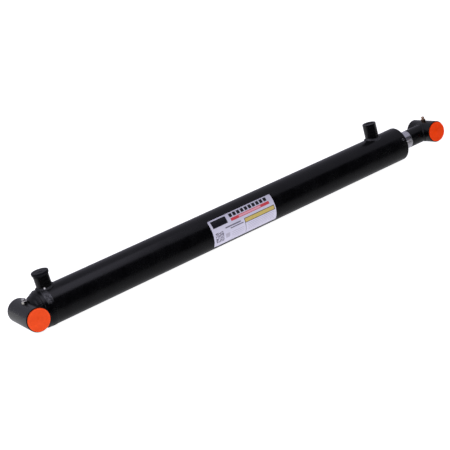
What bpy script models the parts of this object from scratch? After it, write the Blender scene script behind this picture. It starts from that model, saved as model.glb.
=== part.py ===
"""A welded cross-tube hydraulic cylinder, double acting, fully retracted.

The barrel lies along +X from the base pin to the rod pin, the two pins run along Y,
and the oil ports and grease fittings point up, along +Z. The origin is on the surface
that the barrel lies on, midway between the two pins. Lengths are in metres.

Places along the cylinder are stations: distances from the base pin's axis.
"""

import math

import bmesh
import bpy
from mathutils import Matrix, Vector

MM = 0.001

# ---- driving dimensions -------------------------------------------------------------
PIN_TO_PIN = 819.15 * MM
STROKE = 609.6 * MM

BARREL_R = 30.1625 * MM
BORE_R = 25.4 * MM
ROD_R = 15.875 * MM

PIN_TUBE_R = 19.05 * MM
PIN_BORE_R = 12.7 * MM
BASE_TUBE_WIDTH = 76.2 * MM
ROD_TUBE_WIDTH = 57.15 * MM

GAP = 0.3 * MM  # between pieces that touch
WELD_CROWN = 0.6 * MM  # height of the girth weld above the barrel
AXIS_HEIGHT = BARREL_R + WELD_CROWN

# ---- stations along the cylinder ----------------------------------------------------
CAP_FACE = 18.0 * MM
CAP_GROOVE = 25.0 * MM  # where the girth weld's groove starts on the cap
CAP_SHOULDER = 28.0 * MM
CAP_SPIGOT_END = 31.8 * MM
CAP_STOP_END = 43.5 * MM
BARREL_START = 28.4 * MM
BARREL_GROOVE = 34.0 * MM  # where the groove ends on the barrel
BARREL_END = 748.0 * MM

ROD_TAIL = 44.8 * MM
NUT_START = 46.3 * MM
NUT_LENGTH = 16.0 * MM
PISTON_START = 62.6 * MM
PISTON_LENGTH = 30.0 * MM
PISTON_END = PISTON_START + PISTON_LENGTH

GLAND_START = PISTON_END + STROKE + 0.8 * MM
GLAND_END = 747.0 * MM
LOCK_SCREW_STATION = 741.6 * MM
CHROME_END = 772.0 * MM

GIRTH_WELD_STATION = 29.6 * MM
TUBE_WELD_START = 5.6 * MM

BASE_PORT_STATION = 37.0 * MM
ROD_PORT_STATION = 696.0 * MM

# ---- end cap and its welds ----------------------------------------------------------
CAP_STOP_R = 13.0 * MM
GIRTH_ROOT_STATION = 28.24 * MM
GIRTH_ROOT_R = 27.75 * MM
TUBE_WELD_R = (21.4 * MM, 26.9 * MM)  # at its start and beside the end cap

# ---- piston, gland and their seals --------------------------------------------------
ROD_TAIL_R = 11.0 * MM
PISTON_R = 25.1 * MM
PISTON_BORE_R = 11.3 * MM
SEAL_OUTER_R = 25.15 * MM
PISTON_GROOVE_R = 22.4 * MM
PISTON_GROOVES = {
    "piston_wear_ring_rear": (2.6 * MM, 7.2 * MM),
    "piston_seal": (10.8 * MM, 19.2 * MM),
    "piston_wear_ring_front": (22.8 * MM, 27.4 * MM),
}
PISTON_O_RING_GROOVE = (14.0 * MM, 17.2 * MM)
PISTON_O_RING_GROOVE_R = 13.8 * MM
PISTON_O_RING_R = 1.1 * MM
NUT_FLATS_R = 16.0 * MM

GLAND_R = 25.1 * MM
GLAND_BORE_R = 16.25 * MM
ROD_SEAL_INNER_R = 16.15 * MM
BUSHING_GROOVE = (707.0 * MM, 719.6 * MM)  # stations of the gland's inner grooves
BUSHING_GROOVE_R = 18.2 * MM
ROD_SEAL_GROOVE = (724.0 * MM, 732.2 * MM)
ROD_SEAL_GROOVE_R = 20.6 * MM
WIPER_RECESS_START = 738.0 * MM
WIPER_RECESS_R = 20.0 * MM
WIPER_HEEL_END = 745.6 * MM
WIPER_LIP_END = 748.6 * MM
GLAND_O_RING_GROOVE = (712.0 * MM, 717.4 * MM)
GLAND_O_RING_R = 1.3 * MM
BACKUP_RING_WIDTH = 1.7 * MM
SPANNER_HOLE_R = 1.7 * MM
SPANNER_HOLE_DEPTH = 5.0 * MM
SPANNER_CIRCLE_R = 22.6 * MM
LOCK_SCREW_R = 2.4 * MM
LOCK_SCREW_ANGLE = math.radians(66.0)  # from straight up, towards -Y

# ---- ports --------------------------------------------------------------------------
BOSS_R = 12.0 * MM
BASE_BOSS_TOP = 49.2 * MM  # heights of the boss tops above the barrel's axis
ROD_BOSS_TOP = 57.2 * MM
PORT_THREAD_R = 7.9 * MM
PORT_ORIFICE_R = 4.75 * MM
PORT_THREAD_BOTTOM = 36.0 * MM
PORT_HEAD_R = 9.6 * MM
PORT_HEAD_DEPTH = 2.6 * MM
PLUG_HEAD_R = 13.5 * MM
PLUG_HEAD_HEIGHT = 6.4 * MM
PLUG_FOOT_R = 7.1 * MM
PLUG_HOLLOW_R = 6.0 * MM
BASE_PLUG_STEM = 5.4 * MM
ROD_PLUG_STEM = 9.0 * MM

# ---- grease fittings, dust caps, welds, label ---------------------------------------
FITTING_SHANK_R = 2.85 * MM
FITTING_SHANK = 5.5 * MM
FITTING_HEX_R = 4.4 * MM
FITTING_HEX_TOP = 3.4 * MM
FITTING_NECK_R = 2.15 * MM
FITTING_HEAD_R = 3.2 * MM
FITTING_MOUTH_R = 0.8 * MM
FITTING_TOP = 8.3 * MM
FITTING_CHANNEL_R = 1.4 * MM
FITTING_BALL_R = 1.15 * MM
FITTING_BALL_HEIGHT = 5.8 * MM

DUST_CAP_R = 17.75 * MM
DUST_CAP_HEAD = 2.3 * MM
DUST_CAP_STEM = 12.0 * MM
DUST_CAP_HOLLOW_R = 10.8 * MM

BEAD_R = 3.0 * MM
BEAD_OFFSET = 0.6 * MM
ROD_BEAD_R = 2.4 * MM

LABEL_START = 319.0 * MM
LABEL_END = 445.5 * MM
LABEL_HALF_ANGLE = math.radians(47.0)
LABEL_THICKNESS = 0.2 * MM

# ---- facets round a circle ----------------------------------------------------------
FINE = 64
MEDIUM = 40
COARSE = 28
SMALL = 14

BASE_PIN = Vector((-PIN_TO_PIN / 2, 0, AXIS_HEIGHT))
ROD_PIN = Vector((PIN_TO_PIN / 2, 0, AXIS_HEIGHT))

# rotations that carry a piece's own +Z to the named direction
TO_X = (0, math.pi / 2, 0)
TO_Y = (-math.pi / 2, 0, 0)
TO_MINUS_Y = (math.pi / 2, 0, 0)
TO_Z = (0, 0, 0)


# ---- scene and materials ------------------------------------------------------------
def clear_scene():
    for thing in list(bpy.data.objects):
        bpy.data.objects.remove(thing)


def new_collection(name):
    collection = bpy.data.collections.new(name)
    bpy.context.scene.collection.children.link(collection)
    return collection


def principled(name, colour, roughness, metallic=0.0, coat=0.0):
    material = bpy.data.materials.new(name)
    material.use_nodes = True
    shader = material.node_tree.nodes["Principled BSDF"]
    shader.inputs["Base Color"].default_value = (*colour, 1.0)
    shader.inputs["Roughness"].default_value = roughness
    shader.inputs["Metallic"].default_value = metallic
    shader.inputs["Coat Weight"].default_value = coat
    material.diffuse_color = (*colour, 1.0)
    return material


def black_paint():
    return principled("black_paint", (0.018, 0.018, 0.022), 0.32, 0.0, 0.5)


def weld_paint():
    return principled("painted_weld", (0.022, 0.022, 0.027), 0.26, 0.0, 0.6)


def chrome():
    return principled("hard_chrome", (0.72, 0.72, 0.75), 0.12, 1.0)


def machined_steel():
    return principled("machined_steel", (0.42, 0.42, 0.44), 0.35, 1.0)


def orange_plastic():
    return principled("orange_plastic", (0.85, 0.10, 0.02), 0.45)


def black_plastic():
    return principled("black_plastic", (0.02, 0.02, 0.022), 0.5)


def brass():
    return principled("brass", (0.72, 0.50, 0.25), 0.28, 1.0)


def ball_steel():
    return principled("ball_steel", (0.62, 0.62, 0.64), 0.18, 1.0)


def nitrile():
    return principled("nitrile", (0.015, 0.015, 0.015), 0.7)


def polyurethane():
    return principled("polyurethane", (0.10, 0.20, 0.42), 0.4)


def filled_nylon():
    return principled("filled_nylon", (0.36, 0.30, 0.20), 0.55)


def label_film():
    return principled("label_film", (0.85, 0.84, 0.90), 0.35)


# ---- modelling helpers --------------------------------------------------------------
def add_object(name, data, collection, material=None):
    thing = bpy.data.objects.new(name, data)
    collection.objects.link(thing)
    if material:
        data.materials.append(material)
    return thing


def line_mesh(name, points, closed):
    """A profile: points joined in order by edges."""
    shape = bmesh.new()
    corners = [shape.verts.new(p) for p in points]
    for first, second in zip(corners, corners[1:]):
        shape.edges.new((first, second))
    if closed:
        shape.edges.new((corners[-1], corners[0]))
    mesh = bpy.data.meshes.new(name)
    shape.to_mesh(mesh)
    shape.free()
    return mesh


def add_screw(thing, segments, angle=2 * math.pi):
    screw = thing.modifiers.new("turn", "SCREW")
    screw.axis = "Z"
    screw.angle = angle
    screw.steps = segments
    screw.render_steps = segments
    screw.use_merge_vertices = True
    screw.merge_threshold = 0.01 * MM


def turned(name, outline, material, place, rotation=TO_X, segments=COARSE, ring=False):
    """A turned piece. outline lists (height, radius) up its outer side, and for a
    ring back down its bore; the list is reversed because the screw runs downwards."""
    points = [(radius, 0, height) for height, radius in reversed(outline)]
    thing = add_object(name, line_mesh(name, points, ring), PARTS, material)
    thing.location = place
    thing.rotation_euler = rotation
    add_screw(thing, segments)
    return thing


def cylinder_cutter(name, radius, low, high, place, rotation=TO_Z, segments=COARSE):
    """A cutter along its own Z, from low to high."""
    shape = bmesh.new()
    bmesh.ops.create_cone(
        shape, cap_ends=True, segments=segments, radius1=radius, radius2=radius, depth=high - low
    )
    bmesh.ops.translate(shape, verts=shape.verts, vec=(0, 0, (high + low) / 2))
    mesh = bpy.data.meshes.new(name)
    shape.to_mesh(mesh)
    shape.free()
    cutter = add_object(name, mesh, CUTTERS)
    cutter.location = place
    cutter.rotation_euler = rotation
    cutter.display_type = "WIRE"
    cutter.hide_render = True
    return cutter


def combine(thing, other, operation="DIFFERENCE"):
    boolean = thing.modifiers.new(other.name, "BOOLEAN")
    boolean.operation = operation
    boolean.solver = "EXACT"
    boolean.object = other


def settle(thing, sharp_degrees=35):
    """Keeps the finished shape as a mesh, smooth except at its real edges."""
    bpy.context.view_layer.update()
    finished = thing.evaluated_get(bpy.context.evaluated_depsgraph_get())
    mesh = bpy.data.meshes.new_from_object(finished)
    thing.modifiers.clear()
    thing.data = mesh
    mesh.shade_smooth()
    mesh.set_sharp_from_angle(angle=math.radians(sharp_degrees))


def hang_on(name, place, pieces):
    """Parents pieces to an empty on their joint's axis."""
    empty = bpy.data.objects.new(name, None)
    PARTS.objects.link(empty)
    empty.location = place
    bpy.context.view_layer.update()
    for piece in pieces:
        piece.parent = empty
        piece.matrix_parent_inverse = empty.matrix_world.inverted()
    return empty


def on_axis(station):
    return BASE_PIN + Vector((station, 0, 0))


# ---- barrel and base ----------------------------------------------------------------
def make_barrel():
    edge = 1.6 * MM
    outline = [
        (BARREL_START, BORE_R + 2.0 * MM),
        (BARREL_GROOVE, BARREL_R),
        (BARREL_END - edge, BARREL_R),
        (BARREL_END - edge / 3, BARREL_R - edge / 3),
        (BARREL_END, BARREL_R - edge),
        (BARREL_END, BORE_R + edge / 3),
        (BARREL_END - edge / 3, BORE_R),
        (BARREL_START, BORE_R),
    ]
    barrel = turned("barrel_tube", outline, PAINT, BASE_PIN, segments=FINE, ring=True)
    for name, station in (("base", BASE_PORT_STATION), ("rod", ROD_PORT_STATION)):
        hole = cylinder_cutter(f"{name}_orifice", PORT_ORIFICE_R, 0, 2 * BARREL_R, on_axis(station))
        combine(barrel, hole)
    tilt = (LOCK_SCREW_ANGLE, 0, 0)
    screw_hole = cylinder_cutter(
        "lock_screw_hole", LOCK_SCREW_R + GAP, 0, 2 * BARREL_R, on_axis(LOCK_SCREW_STATION), tilt, SMALL
    )
    combine(barrel, screw_hole)
    settle(barrel)


def make_base_cap():
    outline = [
        (CAP_FACE, 0),
        (CAP_FACE, BARREL_R - 2.6 * MM),
        (CAP_FACE + 1.5 * MM, BARREL_R - 1.3 * MM),
        (CAP_FACE + 5.0 * MM, BARREL_R),
        (CAP_GROOVE, BARREL_R),
        (CAP_SHOULDER, BORE_R + 2.0 * MM),
        (CAP_SHOULDER, BORE_R - GAP),
        (CAP_SPIGOT_END, BORE_R - GAP),
        (CAP_SPIGOT_END, CAP_STOP_R),
        (CAP_STOP_END, CAP_STOP_R),
        (CAP_STOP_END, 0),
    ]
    cap = turned("base_end_cap", outline, PAINT, BASE_PIN, segments=MEDIUM)
    cope = cylinder_cutter(
        "base_cope", PIN_TUBE_R + GAP, -BARREL_R * 1.5, BARREL_R * 1.5, BASE_PIN, TO_Y, MEDIUM
    )
    combine(cap, cope)
    settle(cap)


def pin_tube(name, width, place):
    """A cross tube for a pin, with the hole that its grease fitting screws into."""
    half = width / 2
    edge = 0.7 * MM
    outline = [
        (-half, PIN_TUBE_R - edge),
        (-half + edge, PIN_TUBE_R),
        (half - edge, PIN_TUBE_R),
        (half, PIN_TUBE_R - edge),
        (half, PIN_BORE_R + edge),
        (half - edge, PIN_BORE_R),
        (-half + edge, PIN_BORE_R),
        (-half, PIN_BORE_R + edge),
    ]
    tube = turned(name, outline, PAINT, place, TO_Y, MEDIUM, ring=True)
    hole = cylinder_cutter(f"{name}_grease_hole", FITTING_SHANK_R + GAP, 0, 2 * PIN_TUBE_R, place)
    combine(tube, hole)
    settle(tube)
    return tube


def make_girth_weld():
    """The bead round the joint of the barrel and its end cap, open under the port's weld."""
    toe = BARREL_R + 0.26 * MM
    shoulder = AXIS_HEIGHT - 0.08 * MM
    middle = GIRTH_WELD_STATION
    outline = [
        (middle - 5.2 * MM, toe),
        (middle - 3.8 * MM, shoulder),
        (middle - 1.8 * MM, AXIS_HEIGHT),
        (middle + 1.8 * MM, AXIS_HEIGHT),
        (middle + 3.8 * MM, shoulder),
        (middle + 5.2 * MM, toe),
        (BARREL_GROOVE - 0.15 * MM, toe),
        (GIRTH_ROOT_STATION, GIRTH_ROOT_R),
        (CAP_GROOVE + 0.2 * MM, toe),
    ]
    bead = turned("barrel_girth_weld", outline, WELD, BASE_PIN, segments=FINE, ring=True)
    port_weld_r = BOSS_R + BEAD_OFFSET + BEAD_R
    clearance = cylinder_cutter(
        "girth_weld_gap", port_weld_r + GAP, 0, 2 * BARREL_R, on_axis(BASE_PORT_STATION)
    )
    combine(bead, clearance)
    settle(bead)


def make_base_tube_welds():
    """The two wedges of weld, above and below, between the cross tube and the cap."""
    start, end = TUBE_WELD_START, CAP_FACE - GAP
    start_r, end_r = TUBE_WELD_R
    outline = [
        (start, 0),
        (start, start_r),
        (start + 3.4 * MM, start_r + 2.0 * MM),
        (start + 7.4 * MM, start_r + 3.1 * MM),
        (end, end_r),
        (end, 0),
    ]
    upper = turned("base_tube_weld_upper", outline, WELD, BASE_PIN, segments=MEDIUM)
    tube_room = cylinder_cutter(
        "base_weld_cope", PIN_TUBE_R + GAP, -BARREL_R * 1.5, BARREL_R * 1.5, BASE_PIN, TO_Y, MEDIUM
    )
    combine(upper, tube_room)
    below = cylinder_cutter("below_axis", 2 * BARREL_R, -2 * BARREL_R, 0, BASE_PIN)
    combine(upper, below)
    settle(upper)
    lower = upper.copy()
    lower.name = "base_tube_weld_lower"
    PARTS.objects.link(lower)
    half_turn = Matrix.Translation(BASE_PIN) @ Matrix.Rotation(math.pi, 4, "X")
    lower.matrix_world = half_turn @ Matrix.Translation(-BASE_PIN) @ upper.matrix_world


# ---- ports --------------------------------------------------------------------------
def port_boss(name, station, top, plug_head):
    edge = 0.6 * MM
    root = BARREL_R - 4.0 * MM
    outline = [
        (root, BOSS_R),
        (top - edge, BOSS_R),
        (top, BOSS_R - edge),
    ]
    if plug_head:
        outline += [
            (top, PORT_HEAD_R),
            (top - PORT_HEAD_DEPTH, PORT_HEAD_R),
            (top - PORT_HEAD_DEPTH, PORT_THREAD_R),
        ]
    else:
        outline += [
            (top, PORT_THREAD_R + edge),
            (top - edge, PORT_THREAD_R),
        ]
    outline += [
        (PORT_THREAD_BOTTOM + 1.0 * MM, PORT_THREAD_R),
        (PORT_THREAD_BOTTOM, PORT_ORIFICE_R),
        (root, PORT_ORIFICE_R),
    ]
    boss = turned(name, outline, PAINT, on_axis(station), TO_Z, ring=True)
    saddle = cylinder_cutter(
        f"{name}_saddle", BARREL_R + GAP, -2 * BOSS_R, 2 * BOSS_R, on_axis(station), TO_X, FINE
    )
    combine(boss, saddle)
    settle(boss)


def saddle_bead(name, branch_r, main_r, bead_r, points):
    """A bead on the line where a branch tube along Z meets a main tube along X."""
    path_r = branch_r + BEAD_OFFSET
    surface_r = main_r + BEAD_OFFSET
    curve = bpy.data.curves.new(name, "CURVE")
    curve.dimensions = "3D"
    curve.bevel_depth = bead_r
    curve.bevel_resolution = 2
    spline = curve.splines.new("POLY")
    spline.points.add(points - 1)
    spline.use_cyclic_u = True
    for index, point in enumerate(spline.points):
        turn = 2 * math.pi * index / points
        across = path_r * math.sin(turn)
        point.co = (path_r * math.cos(turn), across, math.sqrt(surface_r**2 - across**2), 1)
    wire = bpy.data.objects.new(name, curve)
    PARTS.objects.link(wire)
    bpy.context.view_layer.update()
    finished = wire.evaluated_get(bpy.context.evaluated_depsgraph_get())
    mesh = bpy.data.meshes.new_from_object(finished)
    bpy.data.objects.remove(wire)
    return add_object(name, mesh, PARTS, WELD)


def port_weld(name, station):
    bead = saddle_bead(name, BOSS_R, BARREL_R, BEAD_R, COARSE)
    bead.location = on_axis(station)
    barrel_room = cylinder_cutter(
        f"{name}_barrel_room", BARREL_R + GAP, -3 * BOSS_R, 3 * BOSS_R, on_axis(station), TO_X, FINE
    )
    boss_room = cylinder_cutter(f"{name}_boss_room", BOSS_R + GAP, 0, 2 * BARREL_R, on_axis(station))
    combine(bead, barrel_room)
    combine(bead, boss_room)
    settle(bead, 60)


def make_flanged_plug():
    """The push-in plug with a thick mushroom head, in the base port."""
    origin = on_axis(BASE_PORT_STATION) + Vector((0, 0, BASE_BOSS_TOP))
    top = PLUG_HEAD_HEIGHT
    head_r = PLUG_HEAD_R
    outline = [
        (top - 2.6 * MM, 0),
        (top - 2.6 * MM, PLUG_HOLLOW_R - 0.3 * MM),
        (-BASE_PLUG_STEM, PLUG_HOLLOW_R),
        (-BASE_PLUG_STEM, PLUG_FOOT_R),
        (-1.0 * MM, PORT_THREAD_R - GAP),
        (GAP, PORT_THREAD_R - GAP),
        (GAP, head_r - 1.4 * MM),
        (1.1 * MM, head_r - 0.8 * MM),
        (2.4 * MM, head_r - 0.3 * MM),
        (3.8 * MM, head_r),
        (top - 0.7 * MM, head_r),
        (top - 0.2 * MM, head_r - 0.3 * MM),
        (top, head_r - 0.8 * MM),
        (top, head_r - 2.5 * MM),
        (top - 0.4 * MM, head_r - 3.5 * MM),
        (top - 0.4 * MM, 0),
    ]
    plug = turned("base_port_plug", outline, PLUG, origin, TO_Z)
    settle(plug)


def make_flush_plug():
    """The plug whose head lies inside the rod port's counterbore."""
    origin = on_axis(ROD_PORT_STATION) + Vector((0, 0, ROD_BOSS_TOP))
    under_head = -PORT_HEAD_DEPTH + GAP
    face = -0.5 * MM
    dish = face - 0.8 * MM
    outline = [
        (under_head - 1.0 * MM, 0),
        (under_head - 1.0 * MM, PLUG_HOLLOW_R - 0.2 * MM),
        (under_head - ROD_PLUG_STEM, PLUG_HOLLOW_R),
        (under_head - ROD_PLUG_STEM, PLUG_FOOT_R),
        (under_head - 1.0 * MM, PORT_THREAD_R - GAP),
        (under_head, PORT_THREAD_R - GAP),
        (under_head, PORT_HEAD_R - GAP),
        (face - GAP, PORT_HEAD_R - GAP),
        (face, PORT_HEAD_R - 2 * GAP),
        (face, PLUG_HOLLOW_R),
        (dish, PLUG_HOLLOW_R - 0.6 * MM),
        (dish, 0),
    ]
    plug = turned("rod_port_plug", outline, PLUG, origin, TO_Z)
    settle(plug)


# ---- gland --------------------------------------------------------------------------
def make_gland():
    ring_start, ring_end = GLAND_O_RING_GROOVE
    seal_start, seal_end = ROD_SEAL_GROOVE
    bush_start, bush_end = BUSHING_GROOVE
    outline = [
        (GLAND_START, GLAND_R - 1.0 * MM),
        (GLAND_START + 1.0 * MM, GLAND_R),
        (ring_start, GLAND_R),
        (ring_start, PISTON_GROOVE_R),
        (ring_end, PISTON_GROOVE_R),
        (ring_end, GLAND_R),
        (GLAND_END - 0.6 * MM, GLAND_R),
        (GLAND_END, GLAND_R - 0.6 * MM),
        (GLAND_END, WIPER_RECESS_R),
        (WIPER_RECESS_START, WIPER_RECESS_R),
        (WIPER_RECESS_START, GLAND_BORE_R),
        (seal_end, GLAND_BORE_R),
        (seal_end, ROD_SEAL_GROOVE_R),
        (seal_start, ROD_SEAL_GROOVE_R),
        (seal_start, GLAND_BORE_R),
        (bush_end, GLAND_BORE_R),
        (bush_end, BUSHING_GROOVE_R),
        (bush_start, BUSHING_GROOVE_R),
        (bush_start, GLAND_BORE_R),
        (GLAND_START, GLAND_BORE_R),
    ]
    gland = turned("gland_head", outline, STEEL, BASE_PIN, ring=True)
    for index in range(4):
        turn = math.pi / 4 + index * math.pi / 2
        place = on_axis(GLAND_END) + SPANNER_CIRCLE_R * Vector((0, math.cos(turn), math.sin(turn)))
        depth = SPANNER_HOLE_DEPTH
        hole = cylinder_cutter(f"spanner_hole_{index}", SPANNER_HOLE_R, -depth, depth, place, TO_X, SMALL)
        combine(gland, hole)
    settle(gland)


def square_ring(name, start, end, inner, outer, material):
    """A ring of rectangular section round the rod's axis."""
    outline = [(start, outer), (end, outer), (end, inner), (start, inner)]
    ring = turned(name, outline, material, BASE_PIN, ring=True)
    settle(ring)


def o_ring(name, station, centre_r, section_r):
    sides = 8
    outline = []
    for index in range(sides):
        turn = 2 * math.pi * index / sides
        height = station - section_r * math.cos(turn)
        outline.append((height, centre_r + section_r * math.sin(turn)))
    ring = turned(name, outline, RUBBER, BASE_PIN, ring=True)
    settle(ring, 60)


def lip_seal(name, start, end, outer, material, lip_end):
    """A seal with a heel and an inner lip that reaches to lip_end."""
    middle = (ROD_SEAL_INNER_R + outer) / 2
    outline = [
        (start, outer),
        (end, outer),
        (end, middle + 0.6 * MM),
        ((start + end) / 2, middle),
        (lip_end, ROD_SEAL_INNER_R + 0.9 * MM),
        (lip_end, ROD_SEAL_INNER_R),
        (start, ROD_SEAL_INNER_R + 0.1 * MM),
    ]
    seal = turned(name, outline, material, BASE_PIN, ring=True)
    settle(seal)


def make_gland_seals():
    start, end = BUSHING_GROOVE
    square_ring("gland_bushing", start + GAP, end - GAP, ROD_SEAL_INNER_R, BUSHING_GROOVE_R - GAP, NYLON)
    start, end = GLAND_O_RING_GROOVE
    ring_station = start + GLAND_O_RING_R + 0.4 * MM
    backup_start = end - GAP - BACKUP_RING_WIDTH
    o_ring("gland_o_ring", ring_station, SEAL_OUTER_R - GLAND_O_RING_R, GLAND_O_RING_R)
    square_ring("gland_backup_ring", backup_start, end - GAP, PISTON_GROOVE_R + GAP, SEAL_OUTER_R, NYLON)
    start, end = ROD_SEAL_GROOVE
    lip_seal("rod_seal", start + GAP, end - GAP, ROD_SEAL_GROOVE_R - GAP, POLY, end - 2 * GAP)
    start = WIPER_RECESS_START + GAP
    lip_seal("rod_wiper", start, WIPER_HEEL_END, WIPER_RECESS_R - GAP, POLY, WIPER_LIP_END)


def make_lock_screw():
    """The grub screw through the barrel's wall that locks the gland."""
    outer = BARREL_R - 0.2 * MM
    inner = BORE_R + 0.2 * MM
    outline = [
        (inner, 0),
        (inner, LOCK_SCREW_R - 0.4 * MM),
        (inner + 0.4 * MM, LOCK_SCREW_R),
        (outer - 0.3 * MM, LOCK_SCREW_R),
        (outer, LOCK_SCREW_R - 0.3 * MM),
        (outer, 0),
    ]
    tilt = (LOCK_SCREW_ANGLE, 0, 0)
    place = on_axis(LOCK_SCREW_STATION)
    screw = turned("gland_lock_screw", outline, STEEL, place, tilt, SMALL)
    socket_r, socket_depth = 1.4 * MM, 2.0 * MM
    socket = cylinder_cutter(
        "lock_screw_socket", socket_r, outer - socket_depth, outer + 1.0 * MM, place, tilt, 6
    )
    combine(screw, socket)
    settle(screw)


# ---- piston and rod -----------------------------------------------------------------
def make_piston():
    start, end = PISTON_START, PISTON_END
    bevel = 1.0 * MM
    outline = [(start, PISTON_R - bevel), (start + bevel, PISTON_R)]
    for low, high in PISTON_GROOVES.values():
        outline += [
            (start + low, PISTON_R),
            (start + low, PISTON_GROOVE_R),
            (start + high, PISTON_GROOVE_R),
            (start + high, PISTON_R),
        ]
    groove_start, groove_end = (start + offset for offset in PISTON_O_RING_GROOVE)
    outline += [
        (end - bevel, PISTON_R),
        (end, PISTON_R - bevel),
        (end, PISTON_BORE_R),
        (groove_end, PISTON_BORE_R),
        (groove_end, PISTON_O_RING_GROOVE_R),
        (groove_start, PISTON_O_RING_GROOVE_R),
        (groove_start, PISTON_BORE_R),
        (start, PISTON_BORE_R),
    ]
    piston = turned("piston", outline, STEEL, BASE_PIN, ring=True)
    settle(piston)
    centre_r = PISTON_O_RING_GROOVE_R - 0.25 * MM - PISTON_O_RING_R
    o_ring("piston_o_ring", (groove_start + groove_end) / 2, centre_r, PISTON_O_RING_R)


def make_piston_rings():
    for name, (low, high) in PISTON_GROOVES.items():
        material = POLY if name == "piston_seal" else NYLON
        start = PISTON_START + low + GAP
        end = PISTON_START + high - GAP
        square_ring(name, start, end, PISTON_GROOVE_R + GAP, SEAL_OUTER_R, material)


def make_piston_nut():
    corner_r = NUT_FLATS_R / math.cos(math.pi / 6)
    shape = bmesh.new()
    bmesh.ops.create_cone(
        shape, cap_ends=True, segments=6, radius1=corner_r, radius2=corner_r, depth=NUT_LENGTH
    )
    mesh = bpy.data.meshes.new("piston_nut")
    shape.to_mesh(mesh)
    shape.free()
    nut = add_object("piston_nut", mesh, PARTS, STEEL)
    nut.location = on_axis(NUT_START + NUT_LENGTH / 2)
    nut.rotation_euler = TO_X
    bore = cylinder_cutter(
        "nut_bore", PISTON_BORE_R, -NUT_LENGTH, NUT_LENGTH, on_axis(NUT_START + NUT_LENGTH / 2), TO_X
    )
    combine(nut, bore)
    settle(nut)


def make_rod():
    bevel = 1.0 * MM
    shoulder = PISTON_END + GAP
    outline = [
        (ROD_TAIL, 0),
        (ROD_TAIL, ROD_TAIL_R - bevel),
        (ROD_TAIL + bevel, ROD_TAIL_R),
        (shoulder, ROD_TAIL_R),
        (shoulder, ROD_R - bevel),
        (shoulder + bevel, ROD_R),
        (CHROME_END, ROD_R),
        (CHROME_END, 0),
    ]
    rod = turned("piston_rod", outline, CHROME, BASE_PIN, segments=MEDIUM)
    settle(rod)


def make_rod_neck():
    """The painted end of the rod, coped to the rod's cross tube."""
    outline = [
        (CHROME_END + GAP, 0),
        (CHROME_END + GAP, ROD_R),
        (PIN_TO_PIN - 7.0 * MM, ROD_R),
        (PIN_TO_PIN - 7.0 * MM, 0),
    ]
    neck = turned("rod_end_neck", outline, PAINT, BASE_PIN, segments=MEDIUM)
    cope = cylinder_cutter(
        "rod_cope", PIN_TUBE_R + GAP, -BARREL_R, BARREL_R, ROD_PIN, TO_Y, MEDIUM
    )
    combine(neck, cope)
    settle(neck)


def make_rod_weld():
    bead = saddle_bead("rod_tube_weld", ROD_R, PIN_TUBE_R, ROD_BEAD_R, MEDIUM)
    # the branch, along the bead's own Z, points back at the barrel, and the main tube along Y
    turn = Matrix(((0, 0, -1), (1, 0, 0), (0, -1, 0))).to_4x4()
    bead.matrix_world = Matrix.Translation(ROD_PIN) @ turn
    tube_room = cylinder_cutter(
        "rod_weld_tube_room", PIN_TUBE_R + GAP, -2 * BARREL_R, 2 * BARREL_R, ROD_PIN, TO_Y, MEDIUM
    )
    neck_room = cylinder_cutter(
        "rod_weld_neck_room", ROD_R + GAP, -2 * BARREL_R, 0, ROD_PIN, TO_X, MEDIUM
    )
    combine(bead, tube_room)
    combine(bead, neck_room)
    settle(bead, 60)


# ---- fittings, dust caps and label --------------------------------------------------
def grease_fitting(name, pin):
    """A grease nipple on top of a cross tube, with the check ball in its tip."""
    base = pin + Vector((0, 0, PIN_TUBE_R))
    top = FITTING_TOP
    outline = [
        (-FITTING_SHANK, FITTING_SHANK_R - GAP),
        (-FITTING_SHANK + GAP, FITTING_SHANK_R),
        (FITTING_HEX_TOP + 0.2 * MM, FITTING_SHANK_R),
        (FITTING_HEX_TOP + 1.0 * MM, FITTING_NECK_R),
        (top - 3.1 * MM, FITTING_NECK_R),
        (top - 2.5 * MM, FITTING_HEAD_R),
        (top - 1.4 * MM, FITTING_HEAD_R),
        (top - 0.4 * MM, FITTING_HEAD_R - 0.9 * MM),
        (top, FITTING_HEAD_R - 1.7 * MM),
        (top, FITTING_MOUTH_R),
        (top - 0.7 * MM, FITTING_MOUTH_R),
        (top - 1.2 * MM, FITTING_CHANNEL_R),
        (-FITTING_SHANK, FITTING_CHANNEL_R),
    ]
    fitting = turned(f"{name}_grease_fitting", outline, BRASS, base, TO_Z, SMALL, ring=True)
    hexagon = cylinder_cutter(f"{name}_fitting_hex", FITTING_HEX_R, GAP, FITTING_HEX_TOP, base, TO_Z, 6)
    hex_core = cylinder_cutter(
        f"{name}_fitting_core", FITTING_CHANNEL_R + GAP, -1.0 * MM, 5.0 * MM, base, TO_Z, SMALL
    )
    combine(hexagon, hex_core)
    combine(fitting, hexagon, "UNION")
    settle(fitting)
    make_check_ball(f"{name}_grease_ball", base + Vector((0, 0, FITTING_BALL_HEIGHT)))


def make_check_ball(name, centre):
    shape = bmesh.new()
    bmesh.ops.create_uvsphere(shape, u_segments=12, v_segments=8, radius=FITTING_BALL_R)
    mesh = bpy.data.meshes.new(name)
    shape.to_mesh(mesh)
    shape.free()
    ball = add_object(name, mesh, PARTS, BALL)
    ball.location = centre
    settle(ball, 60)


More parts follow.
